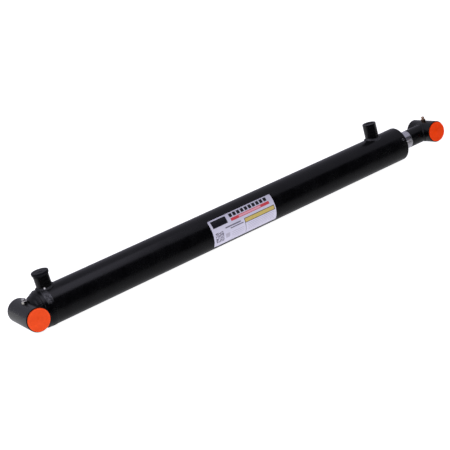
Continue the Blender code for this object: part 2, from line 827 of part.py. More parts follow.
def dust_cap(name, face):
    """The push-in cap that closes the -Y end of a cross tube's bore."""
    stem_r = PIN_BORE_R - GAP
    out = DUST_CAP_HEAD
    outline = [
        (-0.4 * MM, 0),
        (-0.4 * MM, DUST_CAP_HOLLOW_R - 0.1 * MM),
        (-DUST_CAP_STEM, DUST_CAP_HOLLOW_R + 0.1 * MM),
        (-DUST_CAP_STEM, stem_r - 0.6 * MM),
        (-1.5 * MM, stem_r),
        (GAP, stem_r),
        (GAP, DUST_CAP_R - 0.4 * MM),
        (0.7 * MM, DUST_CAP_R),
        (out - 0.4 * MM, DUST_CAP_R),
        (out, DUST_CAP_R - 0.5 * MM),
        (out, 0),
    ]
    cap = turned(name, outline, ORANGE, face, TO_MINUS_Y, MEDIUM)
    settle(cap)


def make_label():
    """The blank label, wrapped on the barrel's -Y side."""
    radius = BARREL_R + 0.1 * MM
    points = [(radius, 0, LABEL_END), (radius, 0, LABEL_START)]
    label = add_object("label_decal", line_mesh("label_decal", points, False), PARTS, LABEL)
    label.location = BASE_PIN
    # the screw sweeps from straight down towards +Y, so its start is turned back past -Y
    start = Matrix.Rotation(-math.pi / 2 - LABEL_HALF_ANGLE, 4, "X")
    lay_down = Matrix.Rotation(math.pi / 2, 4, "Y")
    label.matrix_world = Matrix.Translation(BASE_PIN) @ start @ lay_down
    add_screw(label, 12, 2 * LABEL_HALF_ANGLE)
    shell = label.modifiers.new("film", "SOLIDIFY")
    shell.thickness = LABEL_THICKNESS
    shell.offset = 1.0
    settle(label)


# ---- assembly -----------------------------------------------------------------------
clear_scene()
PARTS = new_collection("cross_tube_hydraulic_cylinder")
CUTTERS = new_collection("cutters")
PAINT = black_paint()
WELD = weld_paint()
CHROME = chrome()
STEEL = machined_steel()
ORANGE = orange_plastic()
PLUG = black_plastic()
BRASS = brass()
BALL = ball_steel()
RUBBER = nitrile()
POLY = polyurethane()
NYLON = filled_nylon()
LABEL = label_film()

make_barrel()
make_base_cap()
make_girth_weld()
pin_tube("base_cross_tube", BASE_TUBE_WIDTH, BASE_PIN)
make_base_tube_welds()

port_boss("base_port_boss", BASE_PORT_STATION, BASE_BOSS_TOP, False)
port_boss("rod_port_boss", ROD_PORT_STATION, ROD_BOSS_TOP, True)
port_weld("base_port_weld", BASE_PORT_STATION)
port_weld("rod_port_weld", ROD_PORT_STATION)
make_flanged_plug()
make_flush_plug()

make_gland()
make_gland_seals()
make_lock_screw()
make_label()

make_piston()
make_piston_rings()
make_piston_nut()
make_rod()
make_rod_neck()
pin_tube("rod_cross_tube", ROD_TUBE_WIDTH, ROD_PIN)
make_rod_weld()

grease_fitting("base", BASE_PIN)
grease_fitting("rod", ROD_PIN)
dust_cap("base_dust_cap", BASE_PIN - Vector((0, BASE_TUBE_WIDTH / 2, 0)))
dust_cap("rod_dust_cap", ROD_PIN - Vector((0, ROD_TUBE_WIDTH / 2, 0)))

rod_names = [
    "piston_rod",
    "piston",
    "piston_o_ring",
    "piston_nut",
    "rod_end_neck",
    "rod_cross_tube",
    "rod_tube_weld",
    "rod_grease_fitting",
    "rod_grease_ball",
    "rod_dust_cap",
]
turning = hang_on("rod_spin_axis", on_axis(PISTON_END), [bpy.data.objects[n] for n in rod_names])
rings = [bpy.data.objects[n] for n in PISTON_GROOVES]
hang_on("rod_slide_axis", on_axis(PISTON_END), [turning, *rings])
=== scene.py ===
"""Looks for the welded cross-tube hydraulic cylinder: fine meshes, finishes, light and camera.

Lengths are in metres. The barrel's axis runs along X, the pins run along Y and the ports point
up, along Z. Places along the cylinder are stations, measured from the base pin's axis.
"""

import random
from math import cos, floor, pi, radians, sin, sqrt

import bmesh
import bpy
from mathutils import Matrix, Vector


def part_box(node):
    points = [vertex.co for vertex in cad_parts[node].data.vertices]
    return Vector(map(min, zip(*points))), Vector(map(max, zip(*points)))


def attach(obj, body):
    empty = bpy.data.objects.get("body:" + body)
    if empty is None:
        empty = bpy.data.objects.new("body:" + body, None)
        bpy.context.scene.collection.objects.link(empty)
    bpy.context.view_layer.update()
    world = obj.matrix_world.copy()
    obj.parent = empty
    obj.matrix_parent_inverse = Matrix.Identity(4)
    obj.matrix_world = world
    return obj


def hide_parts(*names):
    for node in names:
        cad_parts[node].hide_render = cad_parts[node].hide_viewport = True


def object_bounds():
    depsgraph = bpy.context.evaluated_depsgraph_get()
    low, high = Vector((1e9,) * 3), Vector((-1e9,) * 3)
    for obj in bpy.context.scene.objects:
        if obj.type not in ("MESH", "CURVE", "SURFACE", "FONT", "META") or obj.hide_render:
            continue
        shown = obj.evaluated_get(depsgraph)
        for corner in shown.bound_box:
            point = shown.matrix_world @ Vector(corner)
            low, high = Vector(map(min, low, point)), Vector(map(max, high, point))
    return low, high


MM = 0.001
TURN = 2 * pi

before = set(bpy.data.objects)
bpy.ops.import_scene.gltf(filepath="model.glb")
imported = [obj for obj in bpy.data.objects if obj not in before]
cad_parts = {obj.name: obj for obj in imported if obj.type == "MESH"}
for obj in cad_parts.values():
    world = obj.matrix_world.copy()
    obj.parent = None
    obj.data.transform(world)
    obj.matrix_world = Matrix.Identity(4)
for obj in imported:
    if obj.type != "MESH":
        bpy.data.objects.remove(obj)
CAD_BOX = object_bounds()

X = Vector((1, 0, 0))
Y = Vector((0, 1, 0))
Z = Vector((0, 0, 1))


# ---- places and sizes read from the frame ----
def centre(node):
    low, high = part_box(node)
    return (low + high) / 2


def extent(node):
    low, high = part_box(node)
    return high - low


BARREL_R = extent("barrel_tube").z / 2
AXIS_Z = centre("barrel_tube").z
BASE_PIN = Vector((centre("base_cross_tube").x, 0, AXIS_Z))
ROD_PIN = Vector((centre("rod_cross_tube").x, 0, AXIS_Z))
PIN_TUBE_R = extent("base_cross_tube").z / 2
PIN_TO_PIN = ROD_PIN.x - BASE_PIN.x


def span_of(node):
    """The stations where a node begins and ends."""
    low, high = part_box(node)
    return low.x - BASE_PIN.x, high.x - BASE_PIN.x


def heights_of(node):
    """A node's foot and top, from the barrel's axis up."""
    low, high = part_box(node)
    return low.z - AXIS_Z, high.z - AXIS_Z


def on_axis(station, height=0.0):
    return BASE_PIN + Vector((station, 0, height))


ROD_R = extent("piston_rod").z / 2
BARREL_START, BARREL_END = span_of("barrel_tube")
CAP_FACE, CAP_INNER_END = span_of("base_end_cap")
GIRTH_START, GIRTH_END = span_of("barrel_girth_weld")
GIRTH_CROWN = -heights_of("barrel_girth_weld")[0]
GLAND_START, GLAND_END = span_of("gland_head")
GLAND_R = extent("gland_head").z / 2
CHROME_START, CHROME_END = span_of("piston_rod")
BOSS_R = extent("base_port_boss").x / 2
BASE_PORT = centre("base_port_boss").x - BASE_PIN.x
ROD_PORT = centre("rod_port_boss").x - BASE_PIN.x
PORTS = {"base": on_axis(BASE_PORT), "rod": on_axis(ROD_PORT)}
PINS = {"base": BASE_PIN, "rod": ROD_PIN}
BODIES = {"base": "barrel", "rod": "rod"}  # what the cross tube at each end belongs to
PLUG_R = extent("base_port_plug").x / 2
DUST_CAP_R = extent("base_dust_cap").x / 2
LOCK_SCREW = centre("gland_lock_screw")
LOCK_SCREW_STATION = LOCK_SCREW.x - BASE_PIN.x
LABEL_START, LABEL_END = span_of("label_decal")

# ---- sizes that the frame's boxes don't give ----
BORE_R = 25.4 * MM
PIN_BORE_R = 12.7 * MM
THREAD_R = 7.9 * MM
ORIFICE_R = 4.75 * MM
HEAD_ROOM_R = 9.6 * MM
HEAD_ROOM_DEPTH = 2.6 * MM
LOCK_SCREW_R = 2.4 * MM
LABEL_TOP = radians(43.0)  # angles of the label's long edges, from straight up towards -Y
LABEL_BOTTOM = radians(136.0)
LABEL_R = BARREL_R + 0.16 * MM  # the label's outer face
LABEL_THICKNESS = 0.14 * MM
GREASE_HOLE_R = 2.9 * MM
WELD_ROOT_R = BORE_R + 2.0 * MM
GAP = 0.3 * MM
SINK = 0.1 * MM  # how far the ends of two welded pieces overlap

ROUND = 160  # segments round the large pieces, then round the smaller ones
CAP_ROUND = 128
BOSS_ROUND = 112
FITTING_ROUND = 96
SCREW_ROUND = 72
ORIFICE_ROUND = 48
BALL_ROUND = 40
HOLE_ROUND = 36

SHARP = 32  # a larger angle between faces, in degrees, is an edge
FINE_SHARP = 40
WELD_SHARP = 75


# ---- mesh helpers ----
def add_object(name, data):
    thing = bpy.data.objects.new(name, data)
    bpy.context.scene.collection.objects.link(thing)
    return thing


def add_piece(name, mesh, materials):
    for material in materials:
        mesh.materials.append(material)
    return add_object(name, mesh)


def rounded(outline, steps=5):
    """(height, radius, worn) points. A corner given as (height, radius, fillet) becomes an arc,
    whose middle is marked worn: paint is thinnest and metal brightest on an edge."""
    points = []
    for index, (height, radius, *fillet) in enumerate(outline):
        if not fillet:
            points.append((height, radius, 0.0))
            continue
        corner = Vector((height, radius))
        before = Vector(outline[index - 1][:2])
        after = Vector(outline[(index + 1) % len(outline)][:2])
        start = corner + (before - corner).normalized() * fillet[0]
        end = corner + (after - corner).normalized() * fillet[0]
        for step in range(steps + 1):
            t = step / steps
            point = start.lerp(corner, t).lerp(corner.lerp(end, t), t)
            points.append((point.x, point.y, sin(pi * t)))
    return points


def to_mesh(shape, name):
    mesh = bpy.data.meshes.new(name)
    shape.to_mesh(mesh)
    shape.free()
    return mesh


def smooth(mesh, degrees=SHARP):
    mesh.shade_smooth()
    mesh.set_sharp_from_angle(angle=radians(degrees))


def bridge(shape, first, second):
    """Joins two rings of vertices by faces. A ring may be one vertex repeated."""
    for index in range(len(first)):
        after = (index + 1) % len(first)
        corners = [first[index], first[after], second[after], second[index]]
        unique = [v for n, v in enumerate(corners) if v not in corners[:n]]
        if len(unique) > 2:
            shape.faces.new(unique)


def lathe(name, outline, place, materials, along=X, segments=ROUND, ring=False, bend=None, sharp=SHARP):
    """A turned piece round the line through place. outline lists (height, radius) up its outer
    side and, for a ring, back down its bore. bend(height, radius, turn) may shift a point."""
    if along == Z:
        side = X
    else:
        side = along.cross(X).normalized() if along != X else Y
    other = along.cross(side)
    shape = bmesh.new()
    worn_layer = shape.verts.layers.float.new("worn")
    rows = []
    for height, radius, worn in rounded(outline):
        if radius == 0 and not ring:
            pole = shape.verts.new(place + height * along)
            rows.append([pole] * segments)
            continue
        row = []
        for index in range(segments):
            turn = index / segments
            h, r = bend(height, radius, turn) if bend else (height, radius)
            angle = TURN * turn
            direction = cos(angle) * side + sin(angle) * other
            vertex = shape.verts.new(place + h * along + r * direction)
            vertex[worn_layer] = worn
            row.append(vertex)
        rows.append(row)
    pairs = list(zip(rows, rows[1:]))
    if ring:
        pairs.append((rows[-1], rows[0]))
    for low, high in pairs:
        bridge(shape, low, high)
    bmesh.ops.remove_doubles(shape, verts=shape.verts, dist=0.001 * MM)
    bmesh.ops.recalc_face_normals(shape, faces=shape.faces)
    mesh = to_mesh(shape, name)
    smooth(mesh, sharp)
    return add_piece(name, mesh, materials)


def cut(thing, tool):
    """Cuts tool out of thing, and removes tool."""
    boolean = thing.modifiers.new("cut", "BOOLEAN")
    boolean.operation = "DIFFERENCE"
    boolean.solver = "EXACT"
    boolean.object = tool
    bpy.context.view_layer.update()
    finished = thing.evaluated_get(bpy.context.evaluated_depsgraph_get())
    mesh = bpy.data.meshes.new_from_object(finished)
    thing.modifiers.clear()
    thing.data = mesh
    bpy.data.objects.remove(tool)


def cut_round(thing, radius, place, along, segments=HOLE_ROUND, low=0.0):
    """Cuts a round hole from place, or from low along its line, out through the wall."""
    high = 2 * BARREL_R
    outline = [(low, 0), (low, radius), (high, radius), (high, 0)]
    cut(thing, lathe("cutter", outline, place, [], along, segments))


def seat_on_pin_tube(thing, pin):
    """Hollows the end of a piece to the cross tube that it meets."""
    cut_round(thing, PIN_TUBE_R - SINK, pin, Y, ROUND, -2 * BARREL_R)


def hexagon(flats_r, turn):
    """The radius of a hexagon, whose flats are flats_r from its middle, at a turn round it."""
    return flats_r / cos((turn * 6 % 1.0 - 0.5) * pi / 3)


def true_round(thing, place, along, radius):
    """Gives the faces of a cut cylinder the cylinder's own normals, so that cuts leave no streaks."""
    mesh = thing.data
    smooth(mesh)
    normals = [Vector(corner.vector) for corner in mesh.corner_normals]
    for face in mesh.polygons:
        if abs(face.normal.dot(along)) > 0.02:
            continue
        for loop in face.loop_indices:
            offset = mesh.vertices[mesh.loops[loop].vertex_index].co - place
            radial = offset - offset.dot(along) * along
            if abs(radial.length - radius) < 0.05 * MM and radial.normalized().dot(face.normal) > 0.9:
                normals[loop] = radial.normalized()
    mesh.normals_split_custom_set(normals)


def finish_piece(thing, body, slot_name, *nodes):
    """The piece rides on its body and stands for the CAD nodes."""
    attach(thing, body)
    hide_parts(*nodes)


# ---- weld beads ----
def ripple_maker(seed, count, skew=0.6):
    """Ripples of a weld: ripple(turn, across) is 1 on a ripple's crest and falls to 0 between two.
    Each ripple is a crescent, because the bead's middle freezes last."""
    roundness = 0.7
    random.seed(seed)
    tops = [random.uniform(0.62, 1.0) for _ in range(count)]

    def ripple(turn, across):
        phase = turn * count - skew * (2 * across - 1) ** 2
        return tops[int(floor(phase)) % count] * abs(sin(pi * phase)) ** roundness

    return ripple


def wander_maker(seed, size):
    """A slow, seeded wander round a bead."""
    random.seed(seed)
    waves = [(order, random.uniform(0, TURN), random.uniform(0.3, 1.0) / order) for order in (2, 3, 5, 8)]

    def wander(turn):
        return size * sum(scale * sin(TURN * order * turn + shift) for order, shift, scale in waves)

    return wander


def saddle_weld(name, place, main, branch, main_r, branch_r, leg, ripples, seed, material):
    """A fillet bead where a branch tube meets a main tube, built from its toes on both."""
    ripple = ripple_maker(seed, ripples)
    wander = wander_maker(seed + 1, 0.16 * MM)
    cross = branch.cross(main)
    samples = ripples * 7
    across_steps = 10
    fullness = 0.45  # how far the bead bulges and how deep its ripples are, against its leg
    ripple_depth = 0.2
    root, toe_main_sink, toe_branch_sink = 0.4 * MM, 0.12 * MM, 0.1 * MM
    shape = bmesh.new()
    loops = []
    for index in range(samples):
        turn = index / samples
        angle = TURN * turn

        def on_main(distance):
            along_main = distance * cos(angle)
            across_main = distance * sin(angle)
            height = sqrt(max(main_r**2 - across_main**2, 0))
            return place + along_main * main + across_main * cross + height * branch

        reach = leg + wander(turn)
        corner = on_main(branch_r - root) - root * branch
        toe_main = on_main(branch_r + reach) - toe_main_sink * branch
        toe_branch = on_main(branch_r - toe_branch_sink) + (0.9 * reach) * branch
        outward = ((toe_main + toe_branch) / 2 - corner).normalized()
        control = (toe_main + toe_branch) / 2 + fullness * leg * outward
        loop = [shape.verts.new(corner)]
        for step in range(across_steps + 1):
            t = step / across_steps
            point = toe_main.lerp(control, t).lerp(control.lerp(toe_branch, t), t)
            crown = sin(pi * t)
            point += outward * ripple_depth * leg * crown * (ripple(turn, t) - 1)
            loop.append(shape.verts.new(point))
        loops.append(loop)
    for first, second in zip(loops, loops[1:] + loops[:1]):
        bridge(shape, first, second)
    bmesh.ops.recalc_face_normals(shape, faces=shape.faces)
    mesh = to_mesh(shape, name)
    smooth(mesh, WELD_SHARP)
    return add_piece(name, mesh, [material])


# ---- material helpers ----
NOISE_RANGE = (0.3, 0.7)  # where nearly all of a noise's values lie


class Finish:
    """A Principled material, with short calls for the nodes that the finishes share."""

    def __init__(self, name, colour, roughness, **fixed):
        self.material = bpy.data.materials.new(name)
        self.material.use_nodes = True
        self.tree = self.material.node_tree
        self.shader = self.tree.nodes["Principled BSDF"]
        self.set("Base Color", (*colour, 1.0))
        self.set("Roughness", roughness)
        for socket, value in fixed.items():
            self.set(socket.replace("_", " "), value)
        self.normal = None
        self.coordinates = self.add("TexCoord").outputs["Object"]

    def feed(self, node, inputs):
        for key, value in dict(inputs).items():
            if isinstance(value, bpy.types.NodeSocket):
                self.tree.links.new(value, node.inputs[key])
            else:
                node.inputs[key].default_value = value

    def add(self, kind, inputs=(), **settings):
        node = self.tree.nodes.new("ShaderNode" + kind)
        for key, value in settings.items():
            setattr(node, key, value)
        self.feed(node, inputs)
        return node

    def set(self, socket, value):
        self.feed(self.shader, {socket: value})

    def maths(self, operation, first, second=0.0):
        return self.add("Math", {0: first, 1: second}, operation=operation).outputs[0]

    def times(self, first, second):
        return self.maths("MULTIPLY", first, second)

    def stretched(self, scale, source=None):
        """Coordinates scaled by a vector, for grain that runs one way."""
        inputs = {"Vector": source or self.coordinates, "Scale": scale}
        return self.add("Mapping", inputs).outputs["Vector"]

    def turned(self, place, along):
        """Coordinates that follow a turned surface: (distance along the axis, radius, 0)."""
        local = self.add("VectorMath", {0: self.coordinates, 1: place}, operation="SUBTRACT")
        parts = self.add("SeparateXYZ", {0: local.outputs[0]}).outputs
        lengthwise = "XYZ"[max(range(3), key=lambda k: abs(along[k]))]
        rest = [parts[axis] for axis in "XYZ" if axis != lengthwise]
        squares = [self.times(part, part) for part in rest]
        radius = self.maths("SQRT", self.maths("ADD", *squares))
        return self.add("CombineXYZ", {0: parts[lengthwise], 1: radius, 2: 0.0}).outputs[0]

    def noise(self, scale, detail, roughness, source=None):
        inputs = {"Scale": scale, "Detail": detail, "Roughness": roughness}
        inputs["Vector"] = source or self.coordinates
        return self.add("TexNoise", inputs).outputs["Fac"]

    def cells(self, scale):
        inputs = {"Vector": self.coordinates, "Scale": scale}
        return self.add("TexVoronoi", inputs).outputs["Distance"]

    def spread(self, value, low, high, new_low=0.0, new_high=1.0):
        """Maps low and high to new_low and new_high, and holds to those beyond them."""
        inputs = enumerate((value, low, high, new_low, new_high))
        return self.add("MapRange", inputs).outputs["Result"]

    def vary_roughness(self, value, low, high):
        self.set("Roughness", self.spread(value, *NOISE_RANGE, low, high))

    def worn(self):
        return self.add("Attribute", attribute_name="worn").outputs["Fac"]

    def mix(self, factor, first, second):
        """Gives the base colour a blend of two others, each a triple or a socket."""
        colours = [c if isinstance(c, bpy.types.NodeSocket) else (*c, 1.0) for c in (first, second)]
        inputs = {0: factor, 6: colours[0], 7: colours[1]}
        self.colour = self.add("Mix", inputs, data_type="RGBA").outputs[2]
        self.set("Base Color", self.colour)

    def layer(self, factor, colour):
        """Lays one more colour over the base colour."""
        self.mix(factor, self.colour, colour)

    def bump(self, height, distance, strength=1.0):
        inputs = {"Height": height, "Distance": distance, "Strength": strength}
        if self.normal:
            inputs["Normal"] = self.normal
        self.normal = self.add("Bump", inputs).outputs["Normal"]
        self.set("Normal", self.normal)


# ---- finishes ----
ENAMEL_DEEP = (0.0012, 0.0012, 0.0017)
ENAMEL_MIDDLE = (0.002, 0.002, 0.0026)
ENAMEL_HAZE = (0.0030, 0.0030, 0.0037)
THIN_ENAMEL = (0.022, 0.021, 0.021)
SCUFF = (0.035, 0.035, 0.038)
DUST = (0.05, 0.05, 0.055)
# the pale colour of the painted glint at the base port's boss foot
GLINT_PALE = (0.62, 0.61, 0.63)


def enamel(name, peel=0.008 * MM, gloss=0.25, spatter=0.0, dry=0.0, dry_span=None, chip=None):
    """Satin black enamel: orange peel, faint cloudiness, dust, scuffs and thin edges. A patch lightness
    paints pale patches, partly paint dried thin and partly a painted sheen where light catches the bead,
    between two heights if a span is given. A glint place adds one pale spot, a painted highlight."""
    look = Finish(name, ENAMEL_MIDDLE, gloss, Specular_IOR_Level=0.44)
    cloud = look.noise(38, 3, 0.6)
    look.mix(look.spread(cloud, 0.35, 0.7), ENAMEL_DEEP, ENAMEL_HAZE)
    specks = look.spread(look.noise(950, 2, 0.7), 0.72, 0.8, 0.0, 0.12)
    look.layer(specks, DUST)
    rubs = look.noise(1.0, 4, 0.7, look.stretched((55, 240, 160)))
    scuffs = look.spread(rubs, 0.70, 0.76, 0.0, 0.5)
    look.layer(scuffs, SCUFF)
    # paler patches: partly paint dried thin, partly a painted sheen where light catches the bead
    if dry:
        sheen_patches = look.spread(look.noise(150, 4, 0.65), 0.36, 0.64)
        if dry_span:
            low, high = dry_span
            fade = 5 * MM
            height = look.add("SeparateXYZ", {0: look.coordinates}).outputs["Z"]
            above_low = look.spread(height, low - fade, low + fade)
            below_high = look.spread(height, high - fade, high + fade, 1.0, 0.0)
            sheen_patches = look.times(sheen_patches, look.times(above_low, below_high))
        look.layer(sheen_patches, (dry, dry, 1.12 * dry))
    edge_grain = look.spread(look.noise(420, 3, 0.7), 0.42, 0.62, 0.0, 0.75)
    look.layer(look.times(look.worn(), edge_grain), THIN_ENAMEL)
    # one pale spot painted into the enamel: a painted glint
    if chip:
        away = look.add("VectorMath", {0: look.coordinates, 1: chip}, operation="DISTANCE")
        ragged = look.maths("ADD", away.outputs["Value"], look.spread(cloud, 0.0, 1.0, 0.0, MM))
        glint_mask = look.spread(ragged, 1.6 * MM, 2.4 * MM, 1.0, 0.0)
        look.layer(glint_mask, GLINT_PALE)
    look.vary_roughness(cloud, gloss - 0.03, gloss + 0.05)
    look.bump(look.noise(520, 2, 0.45), peel)
    look.bump(look.noise(90, 1, 0.4), 4 * peel, 0.5)
    if spatter:
        grit = look.spread(look.cells(650), 0.0, 0.35, 1.0, 0.0)
        look.bump(grit, spatter)
    return look.material


def weld_enamel(name, gloss=0.22, **more):
    return enamel(name, 0.016 * MM, gloss, 0.03 * MM, **more)


def hard_chrome(place):
    """Ground hard chrome: fine rings round the rod and a faint haze."""
    look = Finish("hard_chrome", (0.85, 0.85, 0.92), 0.3, Metallic=1.0)
    rings = look.stretched((9000, 60, 1), look.turned(place, X))
    grind = look.noise(1.0, 3, 0.6, rings)
    haze = look.noise(60, 2, 0.5)
    look.mix(haze, (0.84, 0.83, 0.90), (0.97, 0.96, 1.0))
    look.vary_roughness(grind, 0.2, 0.32)
    look.bump(grind, 0.004 * MM)
    look.bump(look.noise(700, 2, 0.6), 0.003 * MM)
    return look.material


def turned_steel(name, place, along, tint, low, high):
    """Turned steel: tool marks along the axis or round the face, lightly oiled."""
    look = Finish(name, tint, (low + high) / 2, Metallic=1.0)
    marks = look.stretched((5200, 5200, 1), look.turned(place, along))
    grain = look.noise(1.0, 2, 0.5, marks)
    oil = look.noise(75, 3, 0.6)
    look.mix(oil, tuple(0.72 * c for c in tint), tint)
    look.layer(look.times(look.worn(), 0.6), (0.7, 0.7, 0.7))
    look.vary_roughness(grain, low, high)
    look.bump(grain, 0.012 * MM)
    return look.material


def moulded(name, colour, deep, roughness, place, along, shine=0.15):
    """Moulded polyethylene: waxy, finely textured, with faint flow rings round its gate."""
    look = Finish(name, colour, roughness, Specular_IOR_Level=shine)
    mottle = look.noise(180, 3, 0.55)
    look.mix(look.spread(mottle, *NOISE_RANGE), deep, colour)
    pale = tuple(min(1.0, 1.15 * c + 0.01) for c in colour)
    look.layer(look.times(look.worn(), 0.5), pale)
    look.vary_roughness(look.noise(300, 2, 0.5), roughness - 0.06, roughness + 0.08)
    look.bump(look.noise(1500, 2, 0.6), 0.012 * MM)
    flow = look.stretched((1, 700, 1), look.turned(place, along))
    look.bump(look.noise(1.0, 2, 0.4, flow), 0.008 * MM, 0.5)
    return look.material


def plated_brass(name, tint, tarnish):
    look = Finish(name, tint, 0.24, Metallic=1.0)
    stain = look.noise(420, 3, 0.65)
    look.mix(look.spread(stain, 0.45, 0.75, 0.0, 0.8), tint, tarnish)
    look.layer(look.worn(), tuple(min(1.0, 1.3 * c + 0.1) for c in tint))
    look.set("Roughness", look.spread(stain, 0.3, 0.75, 0.16, 0.4))
    look.bump(look.noise(2600, 2, 0.5), 0.006 * MM)
    return look.material


def plain_rubber(name, colour, pale, roughness):
    look = Finish(name, colour, roughness)
    bloom = look.noise(260, 3, 0.6)
    look.mix(look.spread(bloom, 0.35, 0.7), colour, pale)
    look.vary_roughness(bloom, roughness - 0.07, roughness + 0.08)
    look.bump(look.noise(1900, 3, 0.6), 0.015 * MM)
    return look.material


def ball_steel():
    look = Finish("ball_steel", (0.66, 0.66, 0.68), 0.12, Metallic=1.0)
    haze = look.noise(1400, 2, 0.5)
    look.mix(haze, (0.56, 0.56, 0.58), (0.72, 0.72, 0.74))
    look.vary_roughness(haze, 0.09, 0.2)
    return look.material


# The label's inks, then its printed blocks: (left, right, top, bottom, ink) in millimetres from its
# base-side edge and down from its top edge. Its code and ruled lines end with a pitch instead.
LABEL_WHITE = (0.53, 0.515, 0.63)
LABEL_AGED = ((0.50, 0.485, 0.60), (0.57, 0.555, 0.66))
LABEL_DARK = (0.004, 0.004, 0.007)
LABEL_RED = (0.52, 0.05, 0.065)
LABEL_PINK = (0.68, 0.32, 0.38)
LABEL_OCHRE = (0.52, 0.40, 0.11)
LABEL_GREY = (0.13, 0.12, 0.16)
LABEL_FAINT = (0.36, 0.34, 0.42)
LABEL_BLOCKS = [
    (4, 33, 2.5, 15, LABEL_DARK),
    *[(40 + 7.8 * n, 45.6 + 7.8 * n, 2, 8.6, LABEL_DARK) for n in range(10)],
    (40, 118, 10.2, 15.2, LABEL_RED),
    (56, 100, 11.2, 14.2, LABEL_PINK),
    (63, 124.5, 19.6, 27.6, LABEL_DARK),
    (64, 123.5, 20.6, 26.6, LABEL_OCHRE),
    (63, 63.8, 27.6, 46, LABEL_DARK),
    (25, 56, 20.2, 22.4, LABEL_GREY),
    (34, 60, 24.2, 26.0, LABEL_GREY),
    (23, 31, 31, 39, LABEL_FAINT),
]
LABEL_CODE = (3.5, 19.5, 23.5, 41.5, 1.1)
LABEL_LINES = [(35, 60, 30.5, 42, 3.2), (68, 121, 30, 45, 3.0)]
CODE_SHARE = 0.6  # how much of the code's field and of a line's pitch is printed
RULE_SHARE = 0.3


def label_film():
    """Gloss vinyl with plain printed blocks and rules. The label's map is in millimetres."""
    look = Finish("label_film", LABEL_WHITE, 0.3, Specular_IOR_Level=0.35, Coat_Weight=0.1)
    flat = look.add("UVMap", uv_map="label").outputs["UV"]
    across, down = look.add("SeparateXYZ", {0: flat}).outputs[:2]
    look.mix(look.spread(look.noise(30, 3, 0.6), *NOISE_RANGE), *LABEL_AGED)

    def between(value, low, high):
        above_low = look.maths("GREATER_THAN", value, low)
        return look.times(above_low, look.maths("LESS_THAN", value, high))

    def inside(left, right, top, bottom):
        return look.times(between(across, left, right), between(down, top, bottom))

    for left, right, top, bottom, ink in LABEL_BLOCKS:
        look.layer(inside(left, right, top, bottom), ink)
    for left, right, top, bottom, pitch in LABEL_LINES:
        rule = look.maths("LESS_THAN", look.maths("MODULO", down, pitch), RULE_SHARE * pitch)
        look.layer(look.times(inside(left, right, top, bottom), rule), LABEL_FAINT)
    left, right, top, bottom, module = LABEL_CODE
    cell = [look.maths("FLOOR", look.maths("DIVIDE", value, module)) for value in (across, down)]
    grid = look.add("CombineXYZ", {0: cell[0], 1: cell[1], 2: 0.0}).outputs[0]
    scatter = look.add("TexWhiteNoise", {"Vector": grid}, noise_dimensions="3D").outputs["Value"]
    filled = look.maths("GREATER_THAN", scatter, 1 - CODE_SHARE)
    look.layer(look.times(inside(left, right, top, bottom), filled), LABEL_GREY)
    ink_grain = look.spread(look.noise(4000, 1, 0.5), 0.3, 0.8, 0.0, 0.03)
    look.layer(ink_grain, LABEL_WHITE)
    look.vary_roughness(look.noise(240, 2, 0.5), 0.25, 0.38)
    look.bump(look.noise(160, 2, 0.5), 0.02 * MM, 0.6)
    return look.material


# the middle of the painted glint, a pale spot painted on the weld and boss
GLINT_SPOT = on_axis(BASE_PORT - 4.8 * MM, 31.3 * MM) - 11.9 * MM * Y  # where the base port's weld meets its boss
# heights on the girth weld where light catches it, which bound its painted sheen
GIRTH_SHEEN_SPAN = (AXIS_Z + 0.52 * BARREL_R, AXIS_Z + 0.80 * BARREL_R)
PAINT = enamel("black_enamel")
BASE_BOSS_ENAMEL = enamel("base_boss_enamel", chip=GLINT_SPOT)
WELD = weld_enamel("weld_enamel")
# the welds' paler patches are partly thin paint and partly painted sheen and glints
GIRTH_ENAMEL = weld_enamel("girth_weld_enamel", 0.24, dry=0.16, dry_span=GIRTH_SHEEN_SPAN)
BASE_PORT_ENAMEL = weld_enamel("base_port_weld_enamel", dry=0.012, chip=GLINT_SPOT)
ROD_PORT_ENAMEL = weld_enamel("rod_port_weld_enamel", dry=0.04)
CHROME = hard_chrome(BASE_PIN)
PIN_BORE_TINT, PORT_TINT = (0.34, 0.33, 0.33), (0.36, 0.36, 0.37)
GLAND_STEEL = turned_steel("gland_steel", BASE_PIN, X, (0.40, 0.40, 0.42), 0.25, 0.42)
SCREW_STEEL = turned_steel("screw_steel", LOCK_SCREW, Y, (0.60, 0.60, 0.62), 0.34, 0.5)
BRIGHT_ORANGE, BRIGHT_ORANGE_DEEP = (0.79, 0.066, 0.006), (0.72, 0.056, 0.005)
# the rod-end cap's orange is a darker, redder copy of the same cap orange: painted shade
SHADED_CAP_ORANGE, SHADED_CAP_ORANGE_DEEP = (0.79, 0.049, 0.002), (0.72, 0.041, 0.002)
BLACK_PE, BLACK_PE_DEEP = (0.006, 0.006, 0.009), (0.003, 0.003, 0.005)
BASE_ORANGE = moulded("base_orange", BRIGHT_ORANGE, BRIGHT_ORANGE_DEEP, 0.5, BASE_PIN, Y)
ROD_CAP_SHADED_ORANGE = moulded("rod_cap_shaded_orange", SHADED_CAP_ORANGE, SHADED_CAP_ORANGE_DEEP, 0.5, ROD_PIN, Y, 0.04)
BORE_STEEL, PORT_STEEL, PLUG_PLASTIC = {}, {}, {}
for side in ("base", "rod"):
    port = PORTS[side]
    BORE_STEEL[side] = turned_steel(side + "_bore_steel", PINS[side], Y, PIN_BORE_TINT, 0.3, 0.5)
    PORT_STEEL[side] = turned_steel(side + "_port_steel", port, Z, PORT_TINT, 0.28, 0.45)
    PLUG_PLASTIC[side] = moulded(side + "_black_plastic", BLACK_PE, BLACK_PE_DEEP, 0.36, port, Z)
BRASS = plated_brass("plated_brass", (0.80, 0.77, 0.70), (0.36, 0.31, 0.25))
